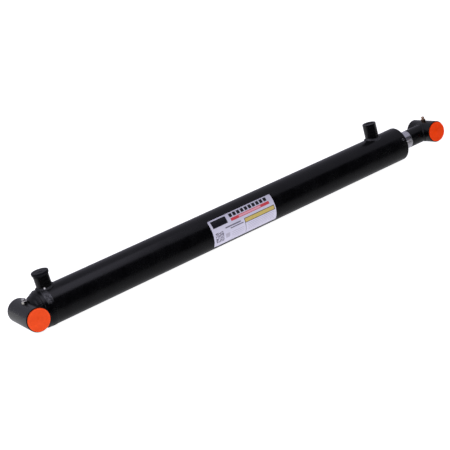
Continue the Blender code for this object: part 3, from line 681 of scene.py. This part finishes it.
COPPER_BRASS = plated_brass("copper_brass", (0.66, 0.42, 0.26), (0.36, 0.20, 0.12))
BALL = ball_steel()
NITRILE = plain_rubber("nitrile", (0.012, 0.012, 0.012), (0.03, 0.03, 0.03), 0.62)
POLY = plain_rubber("polyurethane", (0.07, 0.16, 0.38), (0.11, 0.22, 0.46), 0.4)
NYLON = plain_rubber("filled_nylon", (0.34, 0.28, 0.19), (0.42, 0.36, 0.26), 0.55)
LABEL = label_film()


# ---- barrel and base ----
def paint_bore(thing, place, along, radius):
    """Gives the second material to the faces that lie in the bore."""
    for face in thing.data.polygons:
        offset = face.center - place
        if (offset - offset.dot(along) * along).length < radius:
            face.material_index = 1


def lock_screw_direction():
    """Out from the barrel's axis through the lock screw."""
    offset = LOCK_SCREW - BASE_PIN
    offset.x = 0
    return offset.normalized()


def build_barrel():
    port_margin = 15 * MM
    outline = [
        (BARREL_START, WELD_ROOT_R), (GIRTH_END - 0.8 * MM, BARREL_R),
        (BASE_PORT + port_margin, BARREL_R), (ROD_PORT - port_margin, BARREL_R),
        (ROD_PORT + port_margin, BARREL_R), (LOCK_SCREW_STATION - 4 * MM, BARREL_R),
        (BARREL_END, BARREL_R, 1.5 * MM), (BARREL_END, BORE_R, 0.7 * MM),
        (BARREL_START, BORE_R),
    ]
    barrel = lathe("barrel", outline, BASE_PIN, [PAINT, GLAND_STEEL], ring=True)
    for port in PORTS.values():
        cut_round(barrel, ORIFICE_R, port, Z, ORIFICE_ROUND)
    cut_round(barrel, LOCK_SCREW_R + 0.15 * MM, on_axis(LOCK_SCREW_STATION), lock_screw_direction())
    paint_bore(barrel, BASE_PIN, X, BORE_R + 0.2 * MM)
    true_round(barrel, BASE_PIN, X, BARREL_R)
    finish_piece(barrel, "barrel", "black_paint", "barrel_tube")


def build_end_cap():
    root = BARREL_START - 0.4 * MM
    spigot_end = BARREL_START + 3.4 * MM
    stop_r = 13.0 * MM
    outline = [
        (CAP_FACE, 0), (CAP_FACE, BARREL_R - 1.1 * MM, 0.5 * MM),
        (CAP_FACE + 1.6 * MM, BARREL_R, 0.9 * MM), (GIRTH_START + 0.6 * MM, BARREL_R),
        (root, WELD_ROOT_R), (root, BORE_R - GAP),
        (spigot_end, BORE_R - GAP, 0.6 * MM), (spigot_end, stop_r),
        (CAP_INNER_END, stop_r, 0.8 * MM), (CAP_INNER_END, 0),
    ]
    cap = lathe("end_cap", outline, BASE_PIN, [PAINT])
    seat_on_pin_tube(cap, BASE_PIN)
    true_round(cap, BASE_PIN, X, BARREL_R)
    finish_piece(cap, "barrel", "black_paint", "base_end_cap")


def build_girth_weld():
    """The wide bead round the joint of barrel and cap. It stands lowest where the barrel rests."""
    ripple_pitch = 3.3 * MM
    count = round(TURN * BARREL_R / ripple_pitch)
    ripple = ripple_maker(11, count, 0.9)
    wander = wander_maker(12, 0.35 * MM)
    swell = wander_maker(13, 0.16)
    top_lift = 1.1  # how much higher the bead stands on top than underneath
    ripple_depth = 0.5
    toe = BARREL_R - 0.05 * MM
    underside = toe - 1.0 * MM
    inset = 0.8 * MM
    crown = GIRTH_CROWN - BARREL_R
    width = GIRTH_END - GIRTH_START
    steps = 14
    outline = []
    for step in range(steps + 1):
        t = step / steps
        outline.append((GIRTH_START + t * width, toe + crown * sin(pi * t) ** 0.6))
    outline += [(GIRTH_END - inset, underside), (GIRTH_START + inset, underside)]

    def bend(height, radius, turn):
        across = (height - GIRTH_START) / width
        lift = max(radius - toe, 0.0)
        above_rest = (1 + sin(TURN * turn)) / 2
        lift *= 1 + (top_lift + swell(turn)) * above_rest
        groove = ripple_depth * lift * (1 - ripple(turn, across))
        return height + wander(turn), min(radius, toe) + lift - groove

    segments = count * 9
    bead = lathe("girth_weld", outline, BASE_PIN, [GIRTH_ENAMEL], X, segments, True, bend, WELD_SHARP)
    finish_piece(bead, "barrel", "painted_weld", "barrel_girth_weld")


def build_base_tube_weld():
    """Two passes of weld that fill the corner between the cross tube and the cap."""
    count = 58
    ripple = ripple_maker(21, count, 0.7)
    wander = wander_maker(22, 0.35 * MM)
    first_pass_shift = 0.013  # keeps the two passes' ripples out of step
    bulge, ripple_depth = 0.9 * MM, 0.42 * MM
    start = span_of("base_tube_weld_upper")[0] - 1.0 * MM
    middle = 12.2 * MM
    end = CAP_FACE + 1.4 * MM
    low, waist, high = 21.0 * MM, 25.8 * MM, 28.8 * MM
    steps = 9
    outline = [(start, 0), (start, low - 1.2 * MM), (start, low)]
    for first, last, base_r, top_r in ((start, middle, low, waist), (middle, end, waist, high)):
        for step in range(1, steps + 1):
            t = step / steps
            crown = bulge * sin(pi * t) ** 0.7
            outline.append((first + t * (last - first), base_r + t * (top_r - base_r) + crown))
    outline.append((end, 0))

    def bend(height, radius, turn):
        if radius < low - 0.5 * MM:
            return height, radius
        first, last = (start, middle) if height < middle else (middle, end)
        across = (height - first) / (last - first)
        shifted = (turn + (first_pass_shift if height < middle else 0.0)) % 1.0
        crown = sin(pi * min(max(across, 0), 1))
        groove = ripple_depth * crown * (1 - ripple(shifted, across))
        return height + wander(turn), radius - groove

    bead = lathe("base_tube_weld", outline, BASE_PIN, [WELD], X, count * 7, False, bend, WELD_SHARP)
    seat_on_pin_tube(bead, BASE_PIN)
    smooth(bead.data, WELD_SHARP)
    finish_piece(bead, "barrel", "painted_weld", "base_tube_weld_upper", "base_tube_weld_lower")


def build_pin_tube(end):
    node = end + "_cross_tube"
    place = PINS[end]
    half = extent(node).y / 2
    outer_edge, bore_edge = 0.9 * MM, 0.7 * MM
    outline = [
        (-half, PIN_TUBE_R, outer_edge), (half, PIN_TUBE_R, outer_edge),
        (half, PIN_BORE_R, bore_edge), (-half, PIN_BORE_R, bore_edge),
    ]
    tube = lathe(end + "_pin_tube", outline, place, [PAINT, BORE_STEEL[end]], Y, ring=True)
    cut_round(tube, GREASE_HOLE_R, place, Z)
    paint_bore(tube, place, Y, PIN_BORE_R + 0.25 * MM)
    true_round(tube, place, Y, PIN_TUBE_R)
    finish_piece(tube, BODIES[end], "black_paint", node)


# ---- ports ----
def thread_bend(top, bottom, pitch, depth):
    """Cuts a helical thread outward from the wall of a bore."""

    def bend(height, radius, turn):
        if abs(radius - THREAD_R) > 0.01 * MM or not bottom < height < top:
            return height, radius
        fade = min(1.0, (top - height) / pitch, (height - bottom) / pitch)
        wave = 2 * abs((height / pitch - turn) % 1.0 - 0.5)
        return height, radius + depth * wave * fade

    return bend


def build_boss(end, paint, counterbore):
    """A port boss with a threaded bore; counterbore leaves room for a plug's head."""
    node = end + "_port_boss"
    place = PORTS[end]
    top = heights_of(node)[1]
    root = BARREL_R - 3.0 * MM
    thread_end = 36.5 * MM
    mouth = 0.7 * MM
    outline = [(root, BOSS_R), (top, BOSS_R, mouth)]
    thread_top = top - mouth
    if counterbore:
        thread_top = top - HEAD_ROOM_DEPTH
        outline += [(top, HEAD_ROOM_R, 0.25 * MM), (thread_top, HEAD_ROOM_R), (thread_top, THREAD_R)]
    else:
        outline += [(top, THREAD_R + mouth), (thread_top, THREAD_R)]
    pitch, depth = 1.8 * MM, 0.55 * MM
    length = thread_top - thread_end
    rings = int(length / pitch * 6)
    outline += [(thread_top - length * n / rings, THREAD_R) for n in range(1, rings)]
    outline += [(thread_end, THREAD_R), (thread_end - 1.2 * MM, ORIFICE_R), (root, ORIFICE_R)]
    bend = thread_bend(thread_top, thread_end, pitch, depth)
    paints = [paint, PORT_STEEL[end]]
    boss = lathe("port_boss_" + end, outline, place, paints, Z, BOSS_ROUND, True, bend, FINE_SHARP)
    paint_bore(boss, place, Z, THREAD_R + 0.6 * MM)
    finish_piece(boss, "barrel", "black_paint", node)


def build_port_weld(end, seed, paint):
    leg, ripples = 3.3 * MM, 32
    place = PORTS[end]
    bead = saddle_weld("port_weld_" + end, place, X, Z, BARREL_R, BOSS_R, leg, ripples, seed, paint)
    finish_piece(bead, "barrel", "painted_weld", end + "_port_weld")


def build_flanged_plug():
    """A push-in plug with a thick mushroom head, slightly dished on top."""
    foot, top = heights_of("base_port_plug")
    stem_r = THREAD_R - GAP
    stem_top = heights_of("base_port_boss")[1] + 0.2 * MM
    hollow_floor = top - 2.6 * MM
    dish = top - 0.35 * MM
    gate = top - 0.1 * MM
    outline = [
        (hollow_floor, 0), (hollow_floor, 5.7 * MM, 0.5 * MM),
        (foot, 6.0 * MM), (foot, 7.1 * MM, 0.3 * MM),
        (stem_top - 1.2 * MM, stem_r), (stem_top, stem_r),
        (stem_top, PLUG_R - 1.5 * MM, 0.4 * MM), (stem_top + 2.2 * MM, PLUG_R, 1.6 * MM),
        (top, PLUG_R, 1.0 * MM), (top, PLUG_R - 2.4 * MM, 0.3 * MM),
        (dish, PLUG_R - 3.2 * MM, 0.3 * MM), (dish, 1.2 * MM),
        (gate, 0.7 * MM, 0.2 * MM), (gate, 0),
    ]
    plug = lathe("port_plug_base", outline, PORTS["base"], [PLUG_PLASTIC["base"]], Z, BOSS_ROUND)
    finish_piece(plug, "base_plug", "black_plastic", "base_port_plug")


def build_flush_plug():
    """A plug whose head lies inside the boss, with a dished middle to hook it out by."""
    foot, top = heights_of("rod_port_plug")
    stem_r = THREAD_R - GAP
    head_r = HEAD_ROOM_R - 0.15 * MM
    head_foot = heights_of("rod_port_boss")[1] - HEAD_ROOM_DEPTH + 0.1 * MM
    hollow_floor = head_foot - 1.0 * MM
    dish = top - 0.8 * MM
    gate = top - 0.55 * MM
    outline = [
        (hollow_floor, 0), (hollow_floor, 5.9 * MM, 0.4 * MM),
        (foot, 6.1 * MM), (foot, 7.1 * MM, 0.3 * MM),
        (head_foot - 0.8 * MM, stem_r), (head_foot, stem_r),
        (head_foot, head_r), (top, head_r, 0.4 * MM),
        (top, 6.4 * MM, 0.3 * MM), (dish, 5.6 * MM, 0.3 * MM),
        (dish, 1.0 * MM), (gate, 0.6 * MM, 0.15 * MM),
        (gate, 0),
    ]
    plug = lathe("port_plug_rod", outline, PORTS["rod"], [PLUG_PLASTIC["rod"]], Z, BOSS_ROUND)
    finish_piece(plug, "rod_plug", "black_plastic", "rod_port_plug")


# ---- gland ----
def build_gland():
    """The gland's face, with its spanner holes, and its plain body inside the barrel."""
    bore_r = 16.2 * MM
    mouth_r = 20.0 * MM
    mouth_floor = GLAND_END - 9.0 * MM
    outline = [
        (GLAND_START, GLAND_R, 1.0 * MM), (GLAND_END, GLAND_R, 0.7 * MM),
        (GLAND_END, mouth_r, 0.4 * MM), (mouth_floor, mouth_r),
        (mouth_floor, bore_r), (GLAND_START, bore_r, 0.6 * MM),
    ]
    gland = lathe("gland", outline, BASE_PIN, [GLAND_STEEL], ring=True)
    holes, pitch_r, hole_r, depth, chamfer = 4, 22.6 * MM, 1.7 * MM, 4.2 * MM, 0.6 * MM
    hole = [(-depth - 0.8 * MM, 0), (-depth, hole_r), (-chamfer / 2, hole_r)]
    hole += [(chamfer, hole_r + 1.5 * chamfer), (chamfer, 0)]
    for index in range(holes):
        turn = (index + 0.5) * TURN / holes
        place = on_axis(GLAND_END) + pitch_r * Vector((0, cos(turn), sin(turn)))
        cut(gland, lathe("cutter", hole, place, [], X, HOLE_ROUND))
    smooth(gland.data)
    finish_piece(gland, "barrel", "machined_steel", "gland_head")


def build_wiper():
    """The rod wiper, whose lip stands out of the gland and scrapes the rod."""
    start, end = span_of("rod_wiper")
    shoulder = end - 3.0 * MM
    outer = 19.7 * MM
    inner = ROD_R + 0.08 * MM
    outline = [
        (start, outer), (shoulder, outer, 0.3 * MM),
        (shoulder, inner + 2.0 * MM, 0.4 * MM), (end, inner + 0.8 * MM, 0.3 * MM),
        (end, inner, 0.2 * MM), (shoulder - 1.2 * MM, inner + 0.5 * MM, 0.4 * MM),
        (start, inner + 0.3 * MM),
    ]
    wiper = lathe("wiper", outline, BASE_PIN, [POLY], ring=True)
    finish_piece(wiper, "barrel", "polyurethane", "rod_wiper")


def build_lock_screw():
    """The grub screw that locks the gland, with its hexagon socket."""
    place = on_axis(LOCK_SCREW_STATION)
    inner = BORE_R + 0.2 * MM
    outer = BARREL_R - 0.2 * MM
    socket_r, socket_flats = 1.35 * MM, 1.2 * MM
    outline = [
        (inner, 0), (inner, LOCK_SCREW_R, 0.4 * MM),
        (outer, LOCK_SCREW_R, 0.35 * MM), (outer, socket_r + 0.2 * MM, 0.1 * MM),
        (outer - 0.2 * MM, socket_r), (outer - 2.0 * MM, socket_r),
        (outer - 2.4 * MM, 0),
    ]

    def bend(height, radius, turn):
        if abs(radius - socket_r) > 0.01 * MM:
            return height, radius
        return height, hexagon(socket_flats, turn)

    outward = lock_screw_direction()
    screw = lathe("lock_screw", outline, place, [SCREW_STEEL], outward, SCREW_ROUND, bend=bend)
    finish_piece(screw, "barrel", "machined_steel", "gland_lock_screw")


# ---- rod ----
def build_rod():
    tail_r = 11.0 * MM
    shoulder = span_of("piston")[1] + GAP
    outline = [
        (CHROME_START, 0), (CHROME_START, tail_r, 1.0 * MM),
        (shoulder, tail_r), (shoulder, ROD_R, 1.0 * MM),
        (CHROME_END, ROD_R), (CHROME_END, 0),
    ]
    rod = lathe("rod", outline, BASE_PIN, [CHROME])
    finish_piece(rod, "rod", "hard_chrome", "piston_rod")


def build_rod_neck():
    """The painted end of the rod; the paint's edge stands a hair proud of the chrome."""
    film_r = ROD_R + 0.12 * MM
    start = CHROME_END - 0.1 * MM
    end = PIN_TO_PIN - 6.0 * MM
    outline = [(start, 0), (start, film_r, 0.1 * MM), (end, film_r), (end, 0)]
    raggedness = 0.35 * MM

    def bend(height, radius, turn):
        if height > CHROME_END + MM:
            return height, radius
        waves = sin(TURN * 7 * turn) * sin(TURN * 3 * turn + 1)
        return height + raggedness * waves, radius

    neck = lathe("rod_neck", outline, BASE_PIN, [PAINT], bend=bend)
    seat_on_pin_tube(neck, ROD_PIN)
    true_round(neck, BASE_PIN, X, film_r)
    finish_piece(neck, "rod", "black_paint", "rod_end_neck")


def build_rod_weld():
    leg, ripples, seed = 2.5 * MM, 50, 41
    bead = saddle_weld("rod_weld", ROD_PIN, Y, -X, PIN_TUBE_R, ROD_R, leg, ripples, seed, WELD)
    finish_piece(bead, "rod", "painted_weld", "rod_tube_weld")


# ---- fittings and caps ----
def build_grease_fitting(end, material):
    node = end + "_grease_fitting"
    foot = PIN_TUBE_R - 5.5 * MM
    top = heights_of(node)[1]
    hex_low, hex_high = PIN_TUBE_R + 0.15 * MM, PIN_TUBE_R + 3.4 * MM
    hex_r = 4.4 * MM
    flats_r = hex_r * cos(pi / 6)
    shank_r, neck_r, head_r = 2.7 * MM, 2.1 * MM, 3.2 * MM
    channel_r, mouth_r = 1.4 * MM, 0.85 * MM
    outline = [
        (foot, channel_r), (foot, shank_r, 0.3 * MM),
        (hex_low, shank_r), (hex_low, hex_r, 0.3 * MM),
        (hex_high, hex_r, 0.45 * MM), (hex_high, 3.0 * MM, 0.3 * MM),
        (hex_high + 0.9 * MM, neck_r, 0.4 * MM), (top - 3.1 * MM, neck_r, 0.4 * MM),
        (top - 2.4 * MM, head_r, 0.5 * MM), (top - 1.2 * MM, head_r, 0.7 * MM),
        (top, 1.7 * MM, 0.3 * MM), (top, mouth_r, 0.1 * MM),
        (top - 0.8 * MM, mouth_r), (top - 1.4 * MM, channel_r),
    ]
    slack = 0.01 * MM

    def bend(height, radius, turn):
        if not hex_low - slack <= height <= hex_high + slack or radius < flats_r - 0.6 * MM:
            return height, radius
        return height, min(radius, hexagon(flats_r, turn))

    fitting = lathe("grease_nipple_" + end, outline, PINS[end], [material], Z, FITTING_ROUND, True, bend)
    finish_piece(fitting, BODIES[end], "brass", node)


def build_check_ball(end):
    """The ball in a fitting's mouth, with the small flat that seats its spring."""
    node = end + "_grease_ball"
    radius = extent(node).z / 2
    steps = 16
    outline = [(-0.93 * radius, 0)]
    for step in range(2, steps):
        angle = pi * step / steps
        outline.append((-radius * cos(angle), radius * sin(angle)))
    outline.append((radius, 0))
    ball = lathe("check_ball_" + end, outline, centre(node), [BALL], Z, BALL_ROUND)
    finish_piece(ball, end + "_check_ball", "ball_steel", node)


def build_dust_cap(end, material):
    """A push-in cap: a flat head with a soft rim, a gate mark and a hollow stem."""
    node = end + "_dust_cap"
    low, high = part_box(node)
    out = -low.y
    stem_end = -high.y
    stem_r = PIN_BORE_R - GAP
    face = out - 2.1 * MM
    hollow_floor = face - 0.6 * MM
    panel = out - 0.14 * MM
    gate = out - 0.02 * MM
    outline = [
        (hollow_floor, 0), (hollow_floor, stem_r - 1.7 * MM, 0.4 * MM),
        (stem_end, stem_r - 1.5 * MM), (stem_end, stem_r - 0.4 * MM, 0.4 * MM),
        (face - 2.2 * MM, stem_r), (face, stem_r),
        (face, DUST_CAP_R, 0.5 * MM), (out, DUST_CAP_R, 0.8 * MM),
        (out, DUST_CAP_R - 1.6 * MM, 0.25 * MM), (panel, DUST_CAP_R - 2.1 * MM, 0.25 * MM),
        (panel, 1.0 * MM), (gate, 0.7 * MM, 0.1 * MM),
        (gate, 0),
    ]
    cap = lathe("dust_cap_" + end, outline, PINS[end], [material], -Y, CAP_ROUND)
    finish_piece(cap, end + "_cap", "orange_plastic", node)


def label_sheet(shape, radius, places):
    """One side of the label: rows of vertices from its top edge down, joined by faces. places
    keeps each vertex's (across, down) on the label's map, in millimetres."""
    corner = 2.2 * MM
    length = LABEL_END - LABEL_START
    height = (LABEL_BOTTOM - LABEL_TOP) * LABEL_R
    rows, columns = 72, 48
    sheet = []
    for row in range(rows + 1):
        down = height * (1 - cos(pi * row / rows)) / 2
        into_corner = max(corner - down, down - (height - corner), 0.0)
        inset = corner - sqrt(max(corner**2 - into_corner**2, 0.0))
        angle = LABEL_TOP + down / LABEL_R
        outward = Vector((0, -sin(angle), cos(angle)))
        line = []
        for column in range(columns + 1):
            across = inset + (length - 2 * inset) * column / columns
            vertex = shape.verts.new(on_axis(LABEL_START + across) + radius * outward)
            places[vertex] = (across / MM, down / MM)
            line.append(vertex)
        sheet.append(line)
    for high, low in zip(sheet, sheet[1:]):
        for column in range(columns):
            shape.faces.new((high[column], high[column + 1], low[column + 1], low[column]))
    return sheet


def rim_of(sheet):
    ends = [line[-1] for line in sheet[1:-1]]
    starts = [line[0] for line in sheet[1:-1]]
    return sheet[0] + ends + sheet[-1][::-1] + starts[::-1]


def build_label():
    """The label: a thin film with rounded corners that lies on the barrel's -Y side."""
    shape = bmesh.new()
    flat = shape.loops.layers.uv.new("label")
    places = {}
    below = rim_of(label_sheet(shape, LABEL_R - LABEL_THICKNESS, places))
    above = rim_of(label_sheet(shape, LABEL_R, places))
    bridge(shape, below, above)
    bmesh.ops.recalc_face_normals(shape, faces=shape.faces)
    for face in shape.faces:
        for loop in face.loops:
            loop[flat].uv = places[loop.vert]
    mesh = to_mesh(shape, "label")
    smooth(mesh, FINE_SHARP)
    label = add_piece("label", mesh, [LABEL])
    finish_piece(label, "barrel", "label_film", "label_decal")


def dress_cad_nodes():
    """Finishes for the inner pieces that stay as the frame has them."""
    finishes = [
        (NYLON, "gland_bushing", "gland_backup_ring", "piston_wear_ring_rear", "piston_wear_ring_front"),
        (NITRILE, "gland_o_ring", "piston_o_ring"),
        (POLY, "rod_seal", "piston_seal"),
        (GLAND_STEEL, "piston", "piston_nut"),
    ]
    for material, *nodes in finishes:
        for node in nodes:
            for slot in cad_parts[node].material_slots:
                slot.material = material


# ---- stage, light and camera ----
FLOOR_RADIUS = 60.0
FLOOR_SIDES = 64
FLOOR_GLOW = 0.93
SHADE_Y = 0.13  # how far in front of the cylinder the dark studio begins
SHADE_TOP = 0.165
SHADE_ENDS = (-1.3, 0.62)
SHADE_WINDOW = (0.425, 0.441)  # an opening, so that the chrome has something pale to reflect
SHADE_BACK = 1.5
SHADE_SPAN = (-0.10, 0.08)  # from the middle of the dark floor in front to the pale floor behind
SHADE_GLOW = (0.02, 0.43, 0.63)  # at the span's front, under the axis, and at its back


def stage_piece(name, corners, material):
    shape = bmesh.new()
    shape.faces.new([shape.verts.new(corner) for corner in corners])
    thing = add_piece(name, to_mesh(shape, name), [material])
    return thing


def build_stage():
    """A wide pale floor just under the barrel."""
    level = CAD_BOX[0].z - 0.05 * MM
    look = Finish("pale_floor", (0.8, 0.8, 0.8), 0.9, Specular_IOR_Level=0.1)
    look.set("Emission Color", (1.0, 1.0, 1.0, 1.0))
    look.set("Emission Strength", FLOOR_GLOW)
    rim = [TURN * index / FLOOR_SIDES for index in range(FLOOR_SIDES)]
    corners = [(FLOOR_RADIUS * cos(turn), FLOOR_RADIUS * sin(turn), level) for turn in rim]
    stage_piece("floor", corners, look.material)


def build_shades():
    """What the glossy paint reflects: in front, two black flags with an opening between them,
    which stand in for a dark studio, and the floor, which lies in the barrel's own shade."""
    left, right = SHADE_ENDS
    level = CAD_BOX[0].z
    cloth = Finish("flag_cloth", (0.0, 0.0, 0.0), 1.0, Specular_IOR_Level=0.0)
    shade = Finish("shaded_floor", (0.0, 0.0, 0.0), 1.0, Specular_IOR_Level=0.0)
    shade.set("Emission Color", (0.95, 0.95, 1.0, 1.0))
    across = shade.add("SeparateXYZ", {0: shade.coordinates}).outputs["Y"]
    front, back = SHADE_SPAN
    front_glow, middle_glow, back_glow = SHADE_GLOW
    near = shade.spread(across, front, 0.0, front_glow, middle_glow)
    beyond = shade.spread(across, 0.0, back, 0.0, back_glow - middle_glow)
    shade.set("Emission Strength", shade.maths("ADD", near, beyond))

    def upright(first, last):
        foot = [(first, -SHADE_Y, level), (last, -SHADE_Y, level)]
        return [*foot, (last, -SHADE_Y, SHADE_TOP), (first, -SHADE_Y, SHADE_TOP)]

    sides = [(left, -SHADE_Y), (right, -SHADE_Y), (right, SHADE_BACK), (left, SHADE_BACK)]
    flat = [(x, y, level) for x, y in sides]
    cards = [
        stage_piece("flag_base_end", upright(left, SHADE_WINDOW[0]), cloth.material),
        stage_piece("flag_rod_end", upright(SHADE_WINDOW[1], right), cloth.material),
        stage_piece("floor_shade", flat, shade.material),
    ]
    for card in cards:
        card.visible_camera = False
        card.visible_diffuse = False
        card.visible_shadow = False


WORLD_COLOUR = (0.84, 0.83, 1.0, 1.0)
WORLD_STRENGTH = 0.32
COOL = (0.85, 0.83, 1.0)
WHITE = (1.0, 1.0, 1.0)
# place, target, width, depth, radiance, colour, whether reflections see it
SOFTBOXES = {
    "overhead": ((-0.40, -0.42, 1.0), (-0.40, -0.42, 0.0), 1.2, 0.86, 0.72, COOL, True),
    "back_wall": ((0.1, 1.3, 0.65), (0.1, 0.0, 0.65), 3.2, 1.2, 0.08, COOL, True),
    "front_fill": ((-1.1, -1.7, 0.7), (-0.2, 0.0, 0.0), 1.0, 1.0, 4.3, WHITE, False),
}


def softbox(name, place, target, width, depth, radiance, colour, reflected):
    lamp = bpy.data.lights.new(name, "AREA")
    lamp.shape = "RECTANGLE"
    lamp.size = width
    lamp.size_y = depth
    lamp.energy = radiance * pi * width * depth
    lamp.color = colour
    thing = add_object(name, lamp)
    thing.location = place
    thing.rotation_euler = (Vector(target) - Vector(place)).to_track_quat("-Z", "Y").to_euler()
    thing.visible_camera = False
    thing.visible_glossy = reflected


def build_light():
    world = bpy.data.worlds.new("studio")
    world.use_nodes = True
    background = world.node_tree.nodes["Background"]
    background.inputs["Color"].default_value = WORLD_COLOUR
    background.inputs["Strength"].default_value = WORLD_STRENGTH
    bpy.context.scene.world = world
    for name, settings in SOFTBOXES.items():
        softbox(name, *settings)


CAMERA_PLACE = Vector((-0.84498, -1.4584, 0.54226))
CAMERA_RIGHT = Vector((0.8061, -0.5317, -0.2597))
CAMERA_UP = Vector((0.3747, 0.1191, 0.9195))
LENS = 84.7
SENSOR = 36.0


def build_camera():
    """The viewpoint: low, in front and towards the base end, rolled a little."""
    data = bpy.data.cameras.new("camera")
    data.sensor_width = SENSOR
    data.lens = LENS
    data.clip_start = 0.05
    data.clip_end = 3 * FLOOR_RADIUS
    camera = add_object("camera", data)
    back = CAMERA_RIGHT.cross(CAMERA_UP)
    turn = Matrix((CAMERA_RIGHT, CAMERA_UP, back)).transposed().to_4x4()
    camera.matrix_world = Matrix.Translation(CAMERA_PLACE) @ turn
    bpy.context.scene.camera = camera


build_barrel()
build_end_cap()
build_girth_weld()
build_base_tube_weld()
build_pin_tube("base")
build_boss("base", BASE_BOSS_ENAMEL, False)
build_boss("rod", PAINT, True)
build_port_weld("base", 31, BASE_PORT_ENAMEL)
build_port_weld("rod", 35, ROD_PORT_ENAMEL)
build_flanged_plug()
build_flush_plug()
build_gland()
build_wiper()
build_lock_screw()
build_rod()
build_rod_neck()
build_pin_tube("rod")
build_rod_weld()
build_grease_fitting("base", BRASS)
build_grease_fitting("rod", COPPER_BRASS)
build_check_ball("base")
build_check_ball("rod")
build_dust_cap("base", BASE_ORANGE)
build_dust_cap("rod", ROD_CAP_SHADED_ORANGE)
build_label()
dress_cad_nodes()

build_stage()
build_shades()
build_light()
build_camera()
bpy.context.scene.view_settings.view_transform = "Standard"
